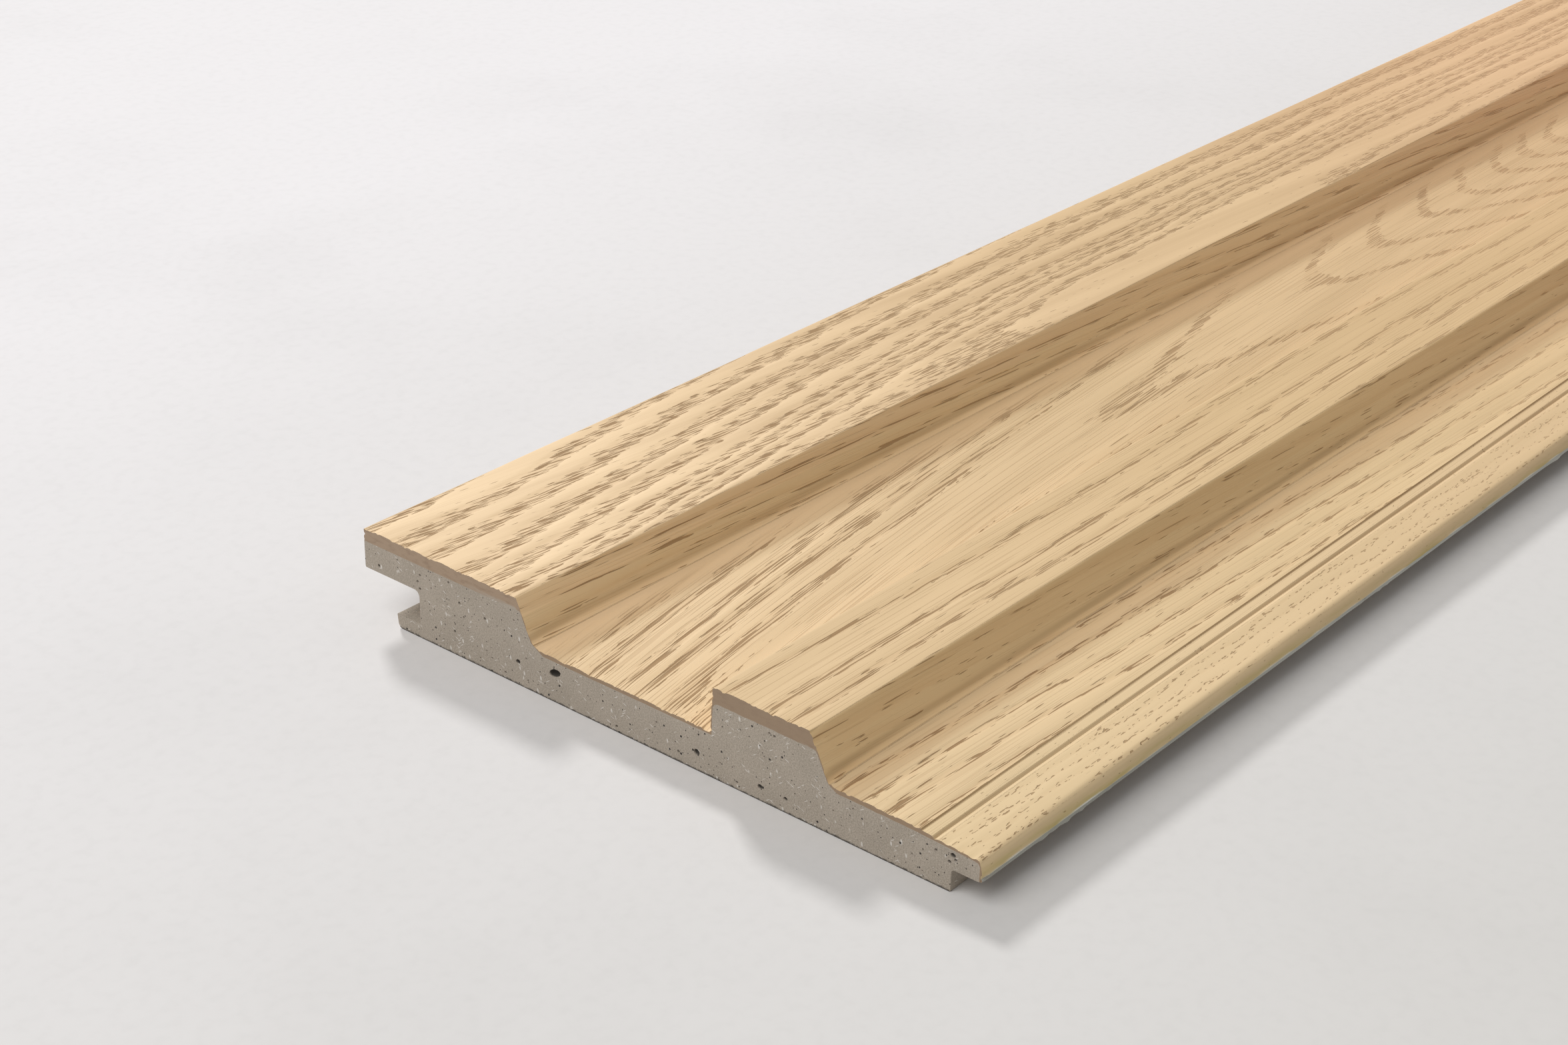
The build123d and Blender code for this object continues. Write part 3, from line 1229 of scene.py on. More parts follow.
@dataclass(frozen=True)
class WideChannelFigure(Figure):
    """Straight rings at the sawn end that open into nested arches further along."""

    ring_radii: tuple[float, ...] = (
        54.0, 46.3, 38.5, 30.7, 21.0, 14.5, 7.7, -6.5, -26.8, -41.9, -54.6, -65.8, -77.3, -86.3,
    )
    band: float = 5.2
    tip_band: float = 3.6
    far_pitch: float = 10.0
    axis_far: float = 14.0
    axis_drop: float = 38.0
    axis_length: float = 250.0
    tip: float = 7.0
    taper: float = 0.045
    far_taper: float = 0.325
    opening: float = 330.0
    opening_spread: float = 45.0
    tip_below: float = 10.0
    fibre_drop: float = 1.15
    later: Span = (600.0, 1000.0)
    later_shift: float = 12.0
    later_swing: float = 16.0
    later_pitch: float = 500.0
    waves: tuple[Wave, ...] = ((1.2, 45.0, 11.0), (0.6, 14.0, 5.0))

    def fibre(self, along: np.ndarray, across: np.ndarray) -> np.ndarray:
        """Returns the distance across the fibre, which follows the rings at the sawn end."""
        return across - self.axis_drop * self.fibre_drop * np.exp(-along / self.axis_length)

    def ring(self, along: np.ndarray, across: np.ndarray) -> np.ndarray:
        """Returns the count of rings."""
        axis = self.axis_far + self.axis_drop * np.exp(-along / self.axis_length)
        swing = self.later_swing * self.wander(along, 0.0 * across, self.later_pitch)
        axis = axis + ease(along, *self.later) * (self.later_shift + swing)
        opened = self.opening_spread * np.logaddexp(0.0, (along - self.opening) / self.opening_spread)
        radius = np.hypot(across - axis, self.tip) - self.taper * along - self.far_taper * opened
        radius = self.waved(radius, along, across)
        radii = np.array(self.ring_radii)
        last = np.minimum(radius - radii[-1], 0.0) / self.far_pitch
        bands = np.where(radii > self.tip_below, self.band, self.tip_band)
        return self.count_rings(-radius, -radii, bands) - last


@dataclass(frozen=True)
class BattenFigure(Figure):
    """A few thin bands that wave along the batten."""

    ring_edges: tuple[float, ...] = (-5.0, 6.8, 19.0, 25.2, 34.0)
    band: float = 3.2
    swing: float = 3.2
    swing_start: float = 20.0
    swing_length: float = 390.0
    swing_loss: float = 0.6
    swing_span: Span = (8.0, 22.0)
    waves: tuple[Wave, ...] = ((1.6, 70.0, 12.0), (0.6, 16.0, 6.0))

    def ring(self, along: np.ndarray, across: np.ndarray) -> np.ndarray:
        """Returns the count of rings."""
        turn = 2.0 * np.pi * (along - self.swing_start) / self.swing_length
        wave = self.swing * np.sin(turn) * (1.0 - self.swing_loss * ease(across, *self.swing_span))
        moved = self.waved(across - wave, along, across)
        edges = np.array(self.ring_edges)
        return self.count_rings(moved, edges, np.full_like(edges, self.band))


@dataclass(frozen=True)
class NarrowChannelFigure(Figure):
    """Even bands that drift slowly towards the tongue."""

    ring_pitch: float = 7.2
    band: float = 2.6
    first_ring: float = 4.6
    drift: float = 0.045
    drift_length: float = 900.0
    fibre_drift: float = 0.03
    swing: float = 5.0
    swing_pitch: float = 420.0
    ring_numbers: Span = (-12.0, 6.0)
    waves: tuple[Wave, ...] = ((1.4, 50.0, 9.0),)

    def fibre(self, along: np.ndarray, across: np.ndarray) -> np.ndarray:
        """Returns the distance across the fibre."""
        return across - self.fibre_drift * along

    def ring(self, along: np.ndarray, across: np.ndarray) -> np.ndarray:
        """Returns the count of rings."""
        slid = self.drift * self.drift_length * np.tanh(along / self.drift_length)
        slid = slid + self.swing * self.wander(along, 0.0 * across, self.swing_pitch)
        moved = self.waved(across - slid, along, across)
        edges = self.first_ring + self.ring_pitch * np.arange(*self.ring_numbers)
        return self.count_rings(moved, edges, np.full_like(edges, self.band))


@dataclass(frozen=True)
class TongueFigure(Figure):
    """Rows of short pores along the tongue."""

    ring_pitch: float = 3.5
    band: float = 1.4
    first_ring: float = 0.8
    drift: float = 0.01
    ring_numbers: Span = (-16.0, 6.0)
    waves: tuple[Wave, ...] = ((1.2, 90.0, 25.0), (1.4, 13.0, 2.6))

    def ring(self, along: np.ndarray, across: np.ndarray) -> np.ndarray:
        """Returns the count of rings."""
        moved = self.waved(across - self.first_ring - self.drift * along, along, across)
        edges = self.ring_pitch * np.arange(*self.ring_numbers)
        return self.count_rings(moved, edges, np.full_like(edges, self.band))


class Mark(Enum):
    """Values that a strip's vertices carry while it is made."""

    EXPOSED = "exposed"
    STATION = "station"
    FLAT = "flat"
    REACH = "reach"
    OUT_ACROSS = "out_across"
    OUT_UP = "out_up"


def round_corners(bm: bmesh.types.BMesh, verts: list[bmesh.types.BMVert], corners: list[Corner]) -> None:
    """Rounds the corners of a section face.

    Args:
        bm: Holds the face.
        verts: Its corners' vertices.
        corners: Their sizes, in the same order.
    """
    for vert, corner in zip(verts, corners):
        if corner.radius <= 0.0:
            continue
        sides = [edge.other_vert(vert).co - vert.co for edge in vert.link_edges]
        reach = corner.radius * MM / math.tan(sides[0].angle(sides[1]) / 2.0)
        bmesh.ops.bevel(
            bm,
            geom=[vert],
            offset=reach,
            offset_type="OFFSET",
            segments=4 if corner.radius < 2.0 else 9,
            profile=0.5,
            affect="VERTICES",
            clamp_overlap=False,
            material=-1,
        )


def run_lengthwise(bm: bmesh.types.BMesh, section: BoardSection, rows: RowPlan) -> None:
    """Draws a section face out to the board's length and divides it in rows.

    Args:
        bm: Holds the one face, at the near end.
        section: Gives the length.
        rows: Where the rows go.
    """
    made = bmesh.ops.extrude_face_region(bm, geom=list(bm.faces))
    moved = [item for item in made["geom"] if isinstance(item, bmesh.types.BMVert)]
    bmesh.ops.translate(bm, verts=moved, vec=(section.length * MM, 0.0, 0.0))
    half = section.length * MM / 2.0
    runs = [edge for edge in bm.edges if abs(edge.verts[0].co.x - edge.verts[1].co.x) > half]
    bmesh.ops.subdivide_edges(bm, edges=runs, cuts=rows.count - 1, use_grid_fill=True)
    for vert in bm.verts:
        share = (vert.co.x + half) / (2.0 * half)
        vert.co.x = rows.along(share, section.length) * MM - half
    bmesh.ops.recalc_face_normals(bm, faces=list(bm.faces))


def sharpen(bm: bmesh.types.BMesh) -> None:
    """Keeps the arrises of a mesh crisp."""
    for edge in bm.edges:
        if len(edge.link_faces) == 2 and edge.calc_face_angle(0.0) > math.radians(SHARP_ANGLE):
            edge.smooth = False


def show(mesh: bpy.types.Mesh, name: str, node: str) -> bpy.types.Object:
    """Puts a finished mesh in the scene in place of a CAD node.

    Args:
        mesh: The mesh.
        name: The piece's name.
        node: The node that it stands for.

    Returns:
        The piece.
    """
    piece = bpy.data.objects.new(name, mesh)
    bpy.context.scene.collection.objects.link(piece)
    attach(piece, "root")
    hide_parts(node)
    log.info("%s: %d faces", name, len(mesh.polygons))
    return piece


@dataclass
class FaceStrip:
    """One strip of the grained face, from one flank of the section to the next."""

    section: BoardSection
    rows: RowPlan
    skin: GrainedSkin
    sawn: SawnSkin
    name: str = "face_strip"
    column: float = 0.62
    hold: float = 1.4
    folds: int = 4
    flank_joint: float = 21.0
    side_joint: float = 15.0
    second_joint: float = 20.2
    swell: float = 0.07
    pillow: float = 0.16
    foot_width: float = 8.5
    chips: float = 0.4
    chip_length: float = 1.3
    seed_shift: float = 40.0
    press_full: float = 0.64
    press_edge: float = 0.93
    uneven_cell: Span = (6.0, 1.7)
    swell_cell: Span = (30.0, 7.0)
    fine_chip: Span = (3.0, 0.8)
    coarse_chip: Span = (9.0, 3.7)
    map_margin: float = 0.02
    map_part: float = 0.96

    def outer(self) -> list[Corner]:
        """Returns the corners that show, in order across the board."""
        raise NotImplementedError

    def bond(self) -> list[Corner]:
        """Returns the corners on the core, in order back across the board."""
        raise NotImplementedError

    def figures(self) -> list[tuple[Figure, float]]:
        """Returns each flat's figure, and how far across it the strip starts."""
        raise NotImplementedError

    def build(self) -> bpy.types.Object:
        """Models, presses and dresses the strip.

        Returns:
            The finished piece.
        """
        bm = bmesh.new()
        for mark in Mark:
            bm.verts.layers.float.new(mark.value)
        corners = self.outer() + self.bond()
        verts = [bm.verts.new(self.section.place(0.0, c.across, c.up)) for c in corners]
        first, last = verts[0], verts[len(self.outer()) - 1]
        bm.faces.new(verts)
        round_corners(bm, verts, corners)
        self.divide(bm, first, last)
        self.mark(bm, first, last)
        run_lengthwise(bm, self.section, self.rows)
        for face in bm.faces:
            face.smooth = abs(face.normal.x) < 0.5
            face.material_index = 1 if len(face.verts) > 4 else 0
        sharpen(bm)
        mesh = bpy.data.meshes.new(self.name)
        bm.to_mesh(mesh)
        bm.free()
        mesh.materials.append(self.skin.material())
        mesh.materials.append(self.sawn.material())
        self.press(mesh)
        return show(mesh, self.name, "face_skin")

    @staticmethod
    def chain(
        bm: bmesh.types.BMesh, first: bmesh.types.BMVert, last: bmesh.types.BMVert
    ) -> tuple[list, list]:
        """Splits the section's loop.

        Args:
            bm: Holds the section face.
            first: Where the shown side starts.
            last: Where it ends.

        Returns:
            The vertices of the shown side, and those of the side on the core.
        """
        bm.faces.ensure_lookup_table()
        loop = list(bm.faces[0].verts)
        start = loop.index(first)
        loop = loop[start:] + loop[:start]
        end = loop.index(last)
        return loop[: end + 1], loop[end + 1 :]

    def divide(self, bm: bmesh.types.BMesh, first: bmesh.types.BMVert, last: bmesh.types.BMVert) -> None:
        """Divides the shown side into columns.

        Args:
            bm: Holds the section face.
            first: Where the shown side starts.
            last: Where it ends.
        """
        shown, _ = self.chain(bm, first, last)
        for one, other in zip(shown, shown[1:]):
            edge = bm.edges.get((one, other))
            cuts = int(edge.calc_length() / (self.column * MM))
            for left in range(cuts, 0, -1):
                _, one = bmesh.utils.edge_split(edge, one, 1.0 / (left + 1))

    def mark(self, bm: bmesh.types.BMesh, first: bmesh.types.BMVert, last: bmesh.types.BMVert) -> None:
        """Notes on each vertex which flat it is on and which way is out.

        Args:
            bm: Holds the section face.
            first: Where the shown side starts.
            last: Where it ends.
        """
        layers = {mark: bm.verts.layers.float[mark.value] for mark in Mark}
        shown, hidden = self.chain(bm, first, last)
        flats = list(zip(self.outer(), self.outer()[1:]))
        starts = [reach for _, reach in self.figures()]
        here = [self.flat_of(vert) for vert in shown]
        station = 0.0
        for index, vert in enumerate(shown + hidden):
            before = (shown + hidden)[index - 1]
            station += (vert.co - before.co).length / MM if index else 0.0
            vert[layers[Mark.STATION]] = station
            vert[layers[Mark.FLAT]] = -1.0
            if index >= len(shown):
                continue
            flat, along = self.nearest(here[index], flats)
            vert[layers[Mark.EXPOSED]] = 1.0
            vert[layers[Mark.FLAT]] = float(flat)
            vert[layers[Mark.REACH]] = starts[flat] + along
            ahead = here[min(index + 1, len(shown) - 1)] - here[max(index - 1, 0)]
            ahead.normalize()
            vert[layers[Mark.OUT_ACROSS]] = -ahead.y
            vert[layers[Mark.OUT_UP]] = ahead.x

    def flat_of(self, vert: bmesh.types.BMVert) -> Vector:
        """Returns a section vertex as (across, up) in millimetres."""
        return Vector((self.section.width / 2 - vert.co.y / MM, vert.co.z / MM))

    @staticmethod
    def nearest(point: Vector, flats: list[tuple[Corner, Corner]]) -> tuple[int, float]:
        """Finds the flat that a point is on.

        Args:
            point: The point, as (across, up).
            flats: The strip's flats, by their two corners.

        Returns:
            The flat's number, and how far along it the point is.
        """
        best = (math.inf, 0, 0.0)
        for index, (start, end) in enumerate(flats):
            run = Vector((end.across - start.across, end.up - start.up))
            offset = point - Vector((start.across, start.up))
            along = min(max(offset.dot(run.normalized()), 0.0), run.length)
            gap = (offset - run.normalized() * along).length
            best = min(best, (gap, index, along))
        return best[1], best[2]

    def press(self, mesh: bpy.types.Mesh) -> None:
        """Presses the figure into the face and stores it for the material.

        Args:
            mesh: The strip's mesh, with its marks.
        """
        count = len(mesh.vertices)
        co = np.empty(count * 3)
        mesh.vertices.foreach_get("co", co)
        co = co.reshape(-1, 3)
        marks = {}
        for mark in Mark:
            marks[mark] = np.empty(count, np.float32)
            mesh.attributes[mark.value].data.foreach_get("value", marks[mark])
        along = co[:, 0] / MM + self.section.length / 2
        flat = np.round(marks[Mark.FLAT]).astype(int)
        shown = marks[Mark.EXPOSED] > 0.5
        grain = np.stack([along, marks[Mark.STATION], np.full(count, PLAIN_RING)], -1)
        strength = np.zeros((count, 3))
        drawn = np.ones(count)
        slope_light = np.zeros(count)
        relief = np.zeros(count)
        for index, (figure, _) in enumerate(self.figures()):
            on = shown & (flat == index)
            x, v = along[on], marks[Mark.REACH][on].astype(float)
            rings = figure.ring(x, v)
            grain[on, 0] = x / figure.stretch
            grain[on, 1] = figure.fibre(x, v) + self.seed_shift * figure.seed
            grain[on, 2] = rings
            strength[on] = (figure.crowd, figure.stray, figure.lining)
            drawn[on] = figure.drawn(x, v)
            slope_light[on] = figure.slope_light
            part = rings - np.floor(rings)
            band = ease(part, 1.0 - BAND_SHARE, self.press_full) * (1.0 - ease(part, self.press_edge, 1.0))
            uneven = 0.8 + 0.45 * figure.wander(x, v, *self.uneven_cell)
            between = np.clip(part / (1.0 - BAND_SHARE), 0.0, 1.0)
            raised = np.sin(np.pi * between) * self.pillow * figure.recess
            relief[on] = (raised - figure.recess * band * uneven) * drawn[on]
            relief[on] += self.swell * figure.wander(x, v, *self.swell_cell)
            from_end = np.minimum(x, self.section.length - x)
            ragged = figure.wander(x, v, *self.fine_chip) + 0.5 * figure.wander(x, v, *self.coarse_chip)
            torn = np.maximum(0.0, ragged)
            relief[on] -= self.chips * torn * (1.0 - ease(from_end, 0.0, self.chip_length))
        length = marks[Mark.STATION][shown].max()
        ends = np.minimum(marks[Mark.STATION], length - marks[Mark.STATION])
        relief = relief * ease(ends, 0.0, self.hold) * shown
        co[:, 1] -= relief * marks[Mark.OUT_ACROSS] * MM
        co[:, 2] += relief * marks[Mark.OUT_UP] * MM
        self.fold_map(mesh, along, marks[Mark.STATION], co)
        mesh.vertices.foreach_set("co", co.ravel())
        for name, values in (("grain", grain), ("figure", strength)):
            attribute = mesh.attributes.new(name, "FLOAT_VECTOR", "POINT")
            attribute.data.foreach_set("vector", values.astype(np.float32).ravel())
        self.store(mesh, "run", along)
        self.store(mesh, "drawn", drawn)
        self.store(mesh, "slope_light", slope_light)
        self.store(mesh, "crease_shade", self.crease_shading(co))
        self.store(mesh, "bounce_light", self.bounce_lit(co))
        self.press_more(mesh, co)
        for mark in Mark:
            if mark is not Mark.EXPOSED:
                mesh.attributes.remove(mesh.attributes[mark.value])
        mesh.update()

    @staticmethod
    def store(mesh: bpy.types.Mesh, name: str, values: np.ndarray) -> None:
        """Keeps one value for each vertex, for the material to read."""
        mesh.attributes.new(name, "FLOAT", "POINT").data.foreach_set("value", values.astype(np.float32))

    def shaded_creases(self) -> list[tuple[float, float, float]]:
        """Returns painted shade lines along the strip's creases and steps, each as its place across, its half
        width and its strength.
        """
        return []

    def bounce_floors(self) -> list[tuple[float, float]]:
        """Returns the floors beside slopes where bounce light is painted, each from and to a place across."""
        return []

    def bounce_lit(self, co: np.ndarray) -> np.ndarray:
        """Returns how much painted bounce light each vertex gets."""
        across = self.section.width / 2 - co[:, 1] / MM
        bounce_light = np.zeros(len(co))
        for start, end in self.bounce_floors():
            risen, fallen = ease(across, start - 0.5, start + 0.5), ease(across, end - 2.0, end + 2.0)
            bounce_light = np.maximum(bounce_light, risen * (1.0 - fallen))
        return bounce_light

    def crease_shading(self, co: np.ndarray) -> np.ndarray:
        """Finds how dark the painted crease shade makes each vertex.

        Args:
            co: The vertices' places.

        Returns:
            From 0 to 1 for each vertex.
        """
        across = self.section.width / 2 - co[:, 1] / MM
        uneven = 0.85 + 0.3 * SmoothNoise(53).at(co[:, 0] / MM / 40.0, 0.0 * across)
        dark = np.zeros(len(co))
        for place, half, strength in self.shaded_creases():
            shade = 1.0 - ease(np.abs(across - place), 0.2 * half, half)
            dark = np.maximum(dark, strength * uneven * shade)
        return np.clip(dark, 0.0, 1.0)

    def press_more(self, mesh: bpy.types.Mesh, co: np.ndarray) -> None:
        """Adds nothing more on most strips."""

    def fold_map(self, mesh: bpy.types.Mesh, along: np.ndarray, station: np.ndarray, co: np.ndarray) -> None:
        """Lays the strip out in folds, so that a picture of it keeps the grain fine.

        Args:
            mesh: The strip's mesh.
            along: Each vertex's distance along the board.
            station: Each vertex's distance round the section.
            co: The vertices' places.
        """
        layer = mesh.uv_layers.new(name="OFBake")
        loops = np.empty(len(mesh.loops), np.int64)
        mesh.loops.foreach_get("vertex_index", loops)
        sizes = np.empty(len(mesh.polygons), np.int64)
        mesh.polygons.foreach_get("loop_total", sizes)
        starts = np.concatenate([[0], np.cumsum(sizes)[:-1]])
        owner = np.repeat(np.arange(len(sizes)), sizes)
        x, round_ = along[loops], station[loops].astype(float)
        middle = np.add.reduceat(x, starts) / sizes
        high = np.maximum.reduceat(round_, starts)[owner]
        total = station.max() + 4.0
        round_ = np.where((high > total / 2) & (round_ <= 0.0), total, round_)
        fold_length = self.section.length / self.folds
        fold = np.clip(np.floor(middle / fold_length), 0, self.folds - 1)[owner]
        height = 1.0 / (self.folds + 0.5)
        u = self.map_margin + self.map_part * (x - fold * fold_length) / fold_length
        v = (fold + self.map_margin + self.map_part * round_ / total) * height
        ends = (sizes > 4)[owner]
        far = middle[owner] > self.section.length / 2
        spread = (co[loops, 1] - co[:, 1].min()) / np.ptp(co[:, 1])
        rise = (co[loops, 2] - co[:, 2].min()) / np.ptp(co[:, 2])
        u = np.where(ends, self.map_margin + 0.46 * spread + 0.5 * far, u)
        v = np.where(ends, (self.folds + 0.05 + 0.4 * rise) * height, v)
        layer.data.foreach_set("uv", np.stack([u, v], -1).astype(np.float32).ravel())


@dataclass
class PlateFace(FaceStrip):
    """The wide flat plate, with its outer edge and the top of the first slope."""

    name: str = "plate_face"
    edge: Figure = Figure(lining=0.15)
    plate: Figure = PlateFigure(
        crowd=0.86, lining=0.12, recess=0.26, far_contrast=0.7, contrast_from=40.0, contrast_to=300.0, seed=3
    )
    slope: Figure = SlopeFigure(
        crowd=0.6, stray=0.04, lining=0.25, recess=0.1, far_contrast=0.75, contrast_to=320.0, stretch=2.6, seed=5
    )

    def outer(self) -> list[Corner]:
        """Returns the plate's shown corners."""
        s = self.section
        return [
            Corner(0.0, s.plate_bond),
            Corner(0.0, s.thickness, s.plate_edge_radius),
            Corner(s.plate_width, s.thickness, s.plate_edge_radius),
            Corner(s.first_slope(self.flank_joint), self.flank_joint),
        ]

    def bond(self) -> list[Corner]:
        """Returns the plate's corners on the core."""
        s = self.section
        return [
            Corner(s.first_slope(self.flank_joint) - s.slope_run, self.flank_joint),
            Corner(s.first_slope(s.plate_bond) - s.slope_run, s.plate_bond, s.core_shoulder_radius),
        ]

    def figures(self) -> list[tuple[Figure, float]]:
        """Returns the figures of the edge, the plate and the slope."""
        return [(self.edge, 0.0), (self.plate, 0.0), (self.slope, 0.0)]


@dataclass
class WideChannelFace(FaceStrip):
    """The wide channel between the plate and the batten, with the first slope."""

    name: str = "wide_channel_face"
    slope: Figure = SlopeFigure(
        crowd=0.6, stray=0.04, lining=0.25, recess=0.1, far_contrast=0.75, contrast_to=320.0, seed=5
    )
    floor: Figure = WideChannelFigure(
        crowd=0.8,
        stray=0.012,
        lining=0.6,
        recess=0.17,
        far_contrast=0.65,
        contrast_to=420.0,
        plain_from=1.5,
        plain_to=9.0,
        seed=7,
    )
    side: Figure = Figure(lining=0.3)

    def outer(self) -> list[Corner]:
        """Returns the channel's shown corners."""
        s = self.section
        return [
            Corner(s.first_slope(self.flank_joint), self.flank_joint),
            Corner(s.wide_start, s.wide_floor, s.slope_foot_radius),
            Corner(s.batten_foot, s.wide_floor, s.batten_foot_radius),
            Corner(s.batten_side(self.side_joint), self.side_joint),
        ]

    def bond(self) -> list[Corner]:
        """Returns the channel's corners on the core."""
        s = self.section
        deeper = s.wide_channel_skin
        return [
            Corner(s.batten_side(self.side_joint) + s.draft_run, self.side_joint),
            Corner(s.batten_side(s.wide_bond) + s.draft_run, s.wide_bond, s.batten_foot_radius),
            Corner(s.first_slope(s.wide_bond) - s.slope_run, s.wide_bond, s.slope_foot_radius + deeper),
            Corner(s.first_slope(self.flank_joint) - s.slope_run, self.flank_joint),
        ]

    def figures(self) -> list[tuple[Figure, float]]:
        """Returns the figures of the slope, the floor and the batten's foot."""
        s = self.section
        down = (s.thickness - self.flank_joint) / math.cos(math.radians(s.slope_angle))
        return [(self.slope, down), (self.floor, 0.0), (self.side, 0.0)]

    def shaded_creases(self) -> list[tuple[float, float, float]]:
        """Returns the foot of the slope, where shade is painted."""
        return [(self.section.wide_start - 1.3, 0.8, 0.36)]

    def bounce_floors(self) -> list[tuple[float, float]]:
        """Returns the floor beside the slope, where bounce light is painted."""
        return [(self.section.wide_start - 0.8, self.section.wide_start + self.foot_width)]


@dataclass
class BattenFace(FaceStrip):
    """The raised batten, from its steep side to the top of the second slope."""

    name: str = "batten_face"
    side: Figure = Figure(lining=0.3)
    top: Figure = BattenFigure(
        crowd=0.8, stray=0.008, lining=0.45, recess=0.15, far_contrast=0.6, contrast_to=420.0, seed=11
    )
    slope: Figure = SlopeFigure(crowd=0.3, stray=0.06, lining=0.2, recess=0.03, seed=13)

    def outer(self) -> list[Corner]:
        """Returns the batten's shown corners."""
        s = self.section
        return [
            Corner(s.batten_side(self.side_joint), self.side_joint),
            Corner(s.batten_start, s.thickness, s.batten_edge_radius),
            Corner(s.batten_end, s.thickness, s.batten_edge_radius),
            Corner(s.second_slope(self.second_joint), self.second_joint),
        ]

    def bond(self) -> list[Corner]:
        """Returns the batten's corners on the core."""
        s = self.section
        return [
            Corner(s.second_slope(self.second_joint) - s.slope_run, self.second_joint),
            Corner(s.second_slope(s.batten_bond) - s.slope_run, s.batten_bond, s.core_shoulder_radius),
            Corner(s.batten_side(s.batten_bond) + s.draft_run, s.batten_bond, s.core_shoulder_radius),
            Corner(s.batten_side(self.side_joint) + s.draft_run, self.side_joint),
        ]

    def figures(self) -> list[tuple[Figure, float]]:
        """Returns the figures of the steep side, the top and the slope."""
        return [(self.side, 2.0), (self.top, 0.0), (self.slope, 0.0)]


@dataclass
class NarrowChannelFace(FaceStrip):
    """The narrow channel between the batten and the lap line, with the second slope."""

    name: str = "narrow_channel_face"
    slope: Figure = SlopeFigure(crowd=0.3, stray=0.06, lining=0.2, recess=0.03, seed=13)
    floor: Figure = NarrowChannelFigure(
        crowd=0.7, stray=0.012, lining=0.35, recess=0.2, contrast_to=420.0, seed=17
    )

    def outer(self) -> list[Corner]:
        """Returns the channel's shown corners."""
        s = self.section
        return [
            Corner(s.second_slope(self.second_joint), self.second_joint),
            Corner(s.narrow_start, s.narrow_floor, s.slope_foot_radius),
            Corner(s.lap_line, s.narrow_floor),
        ]

    def bond(self) -> list[Corner]:
        """Returns the channel's corners on the core."""
        s = self.section
        deeper = s.narrow_channel_skin
        return [
            Corner(s.lap_line, s.narrow_bond),
            Corner(s.second_slope(s.narrow_bond) - s.slope_run, s.narrow_bond, s.slope_foot_radius + deeper),
            Corner(s.second_slope(self.second_joint) - s.slope_run, self.second_joint),
        ]

    def figures(self) -> list[tuple[Figure, float]]:
        """Returns the figures of the slope and the floor."""
        s = self.section
        down = (s.thickness - self.second_joint) / math.cos(math.radians(s.slope_angle))
        return [(self.slope, down), (self.floor, 0.0)]

    def shaded_creases(self) -> list[tuple[float, float, float]]:
        """Returns the foot of the slope, where shade is painted."""
        return [(self.section.narrow_start - 1.1, 0.7, 0.38)]

    def bounce_floors(self) -> list[tuple[float, float]]:
        """Returns the floor beside the slope, where bounce light is painted."""
        return [(self.section.narrow_start - 0.8, self.section.narrow_start + self.foot_width)]


@dataclass
class TongueFace(FaceStrip):
    """The fixing strip and the tongue, round its nose to where the film was trimmed."""

    name: str = "tongue_face"
    plain: Figure = Figure(stray=0.01, lining=0.3, seed=23)
    tongue: Figure = TongueFigure(crowd=0.55, stray=0.02, lining=0.04, recess=0.05, contrast_to=420.0, seed=19)
    nose_figure: Figure = Figure(lining=0.1, seed=29)
    trimmed_height: float = 1.0

    def outer(self) -> list[Corner]:
        """Returns the tongue's shown corners."""
        s = self.section
        end = s.film_end
        sideways = end.across - (s.width - s.nose_bottom_radius)
        turn = math.atan2(sideways, s.tongue_under + s.nose_bottom_radius - end.up)
        reach = s.nose_bottom_radius * math.tan((math.pi / 2 - turn) / 2)
        return [
            Corner(s.lap_line, s.narrow_floor),
            Corner(s.lap_line + s.lap_step_width, s.strip_top),
            Corner(s.fixing_line - s.fixing_groove_inner_width, s.strip_low),
            Corner(s.fixing_line, s.fixing_floor),
            Corner(s.fixing_line + s.fixing_groove_outer_width, s.tongue_top),
            Corner(s.width, s.nose_top, s.nose_top_radius),
            Corner(s.width, s.tongue_under + s.nose_bottom_radius - reach, s.nose_bottom_radius),
            end,
        ]

    def bond(self) -> list[Corner]:
        """Returns the tongue's corners on the core."""
        s = self.section
        return [
            Corner(s.nose_bond, s.nose_top - s.tongue_skin, s.nose_top_radius - s.tongue_skin),
            Corner(s.fixing_line, s.fixing_bond),
            Corner(s.lap_line, s.narrow_bond),
        ]

    def figures(self) -> list[tuple[Figure, float]]:
        """Returns the figures of the strip's flats."""
        plain, nose = (self.plain, 0.0), (self.nose_figure, 0.0)
        return [plain, plain, plain, plain, (self.tongue, 0.0), nose, nose]

    def shaded_creases(self) -> list[tuple[float, float, float]]:
        """Returns the lap step and the fixing groove, where shade is painted."""
        s = self.section
        return [(s.lap_line + s.lap_step_width, 0.5, 0.6), (s.fixing_line - 0.2, 0.5, 0.4)]

    def press_more(self, mesh: bpy.types.Mesh, co: np.ndarray) -> None:
        """Marks the nose and the trimmed edge for the material.

        Args:
            mesh: The strip's mesh.
            co: The vertices' places.
        """
        s = self.section
        up = co[:, 2] / MM
        along = co[:, 0] / MM
        noise = SmoothNoise(37)
        uneven = 0.3 * noise.at(along / 9.0, 0.0 * along) + 0.2 * noise.at(along / 2.5, 0.0 * along + 5.0)
        self.store(mesh, "nose", 1.0 - ease(up, s.tongue_under + 1.0, s.nose_top - 0.6))
        edge = s.tongue_under + self.trimmed_height
        self.store(mesh, "trimmed", 1.0 - ease(up + uneven, edge - 0.25, edge + 0.35))


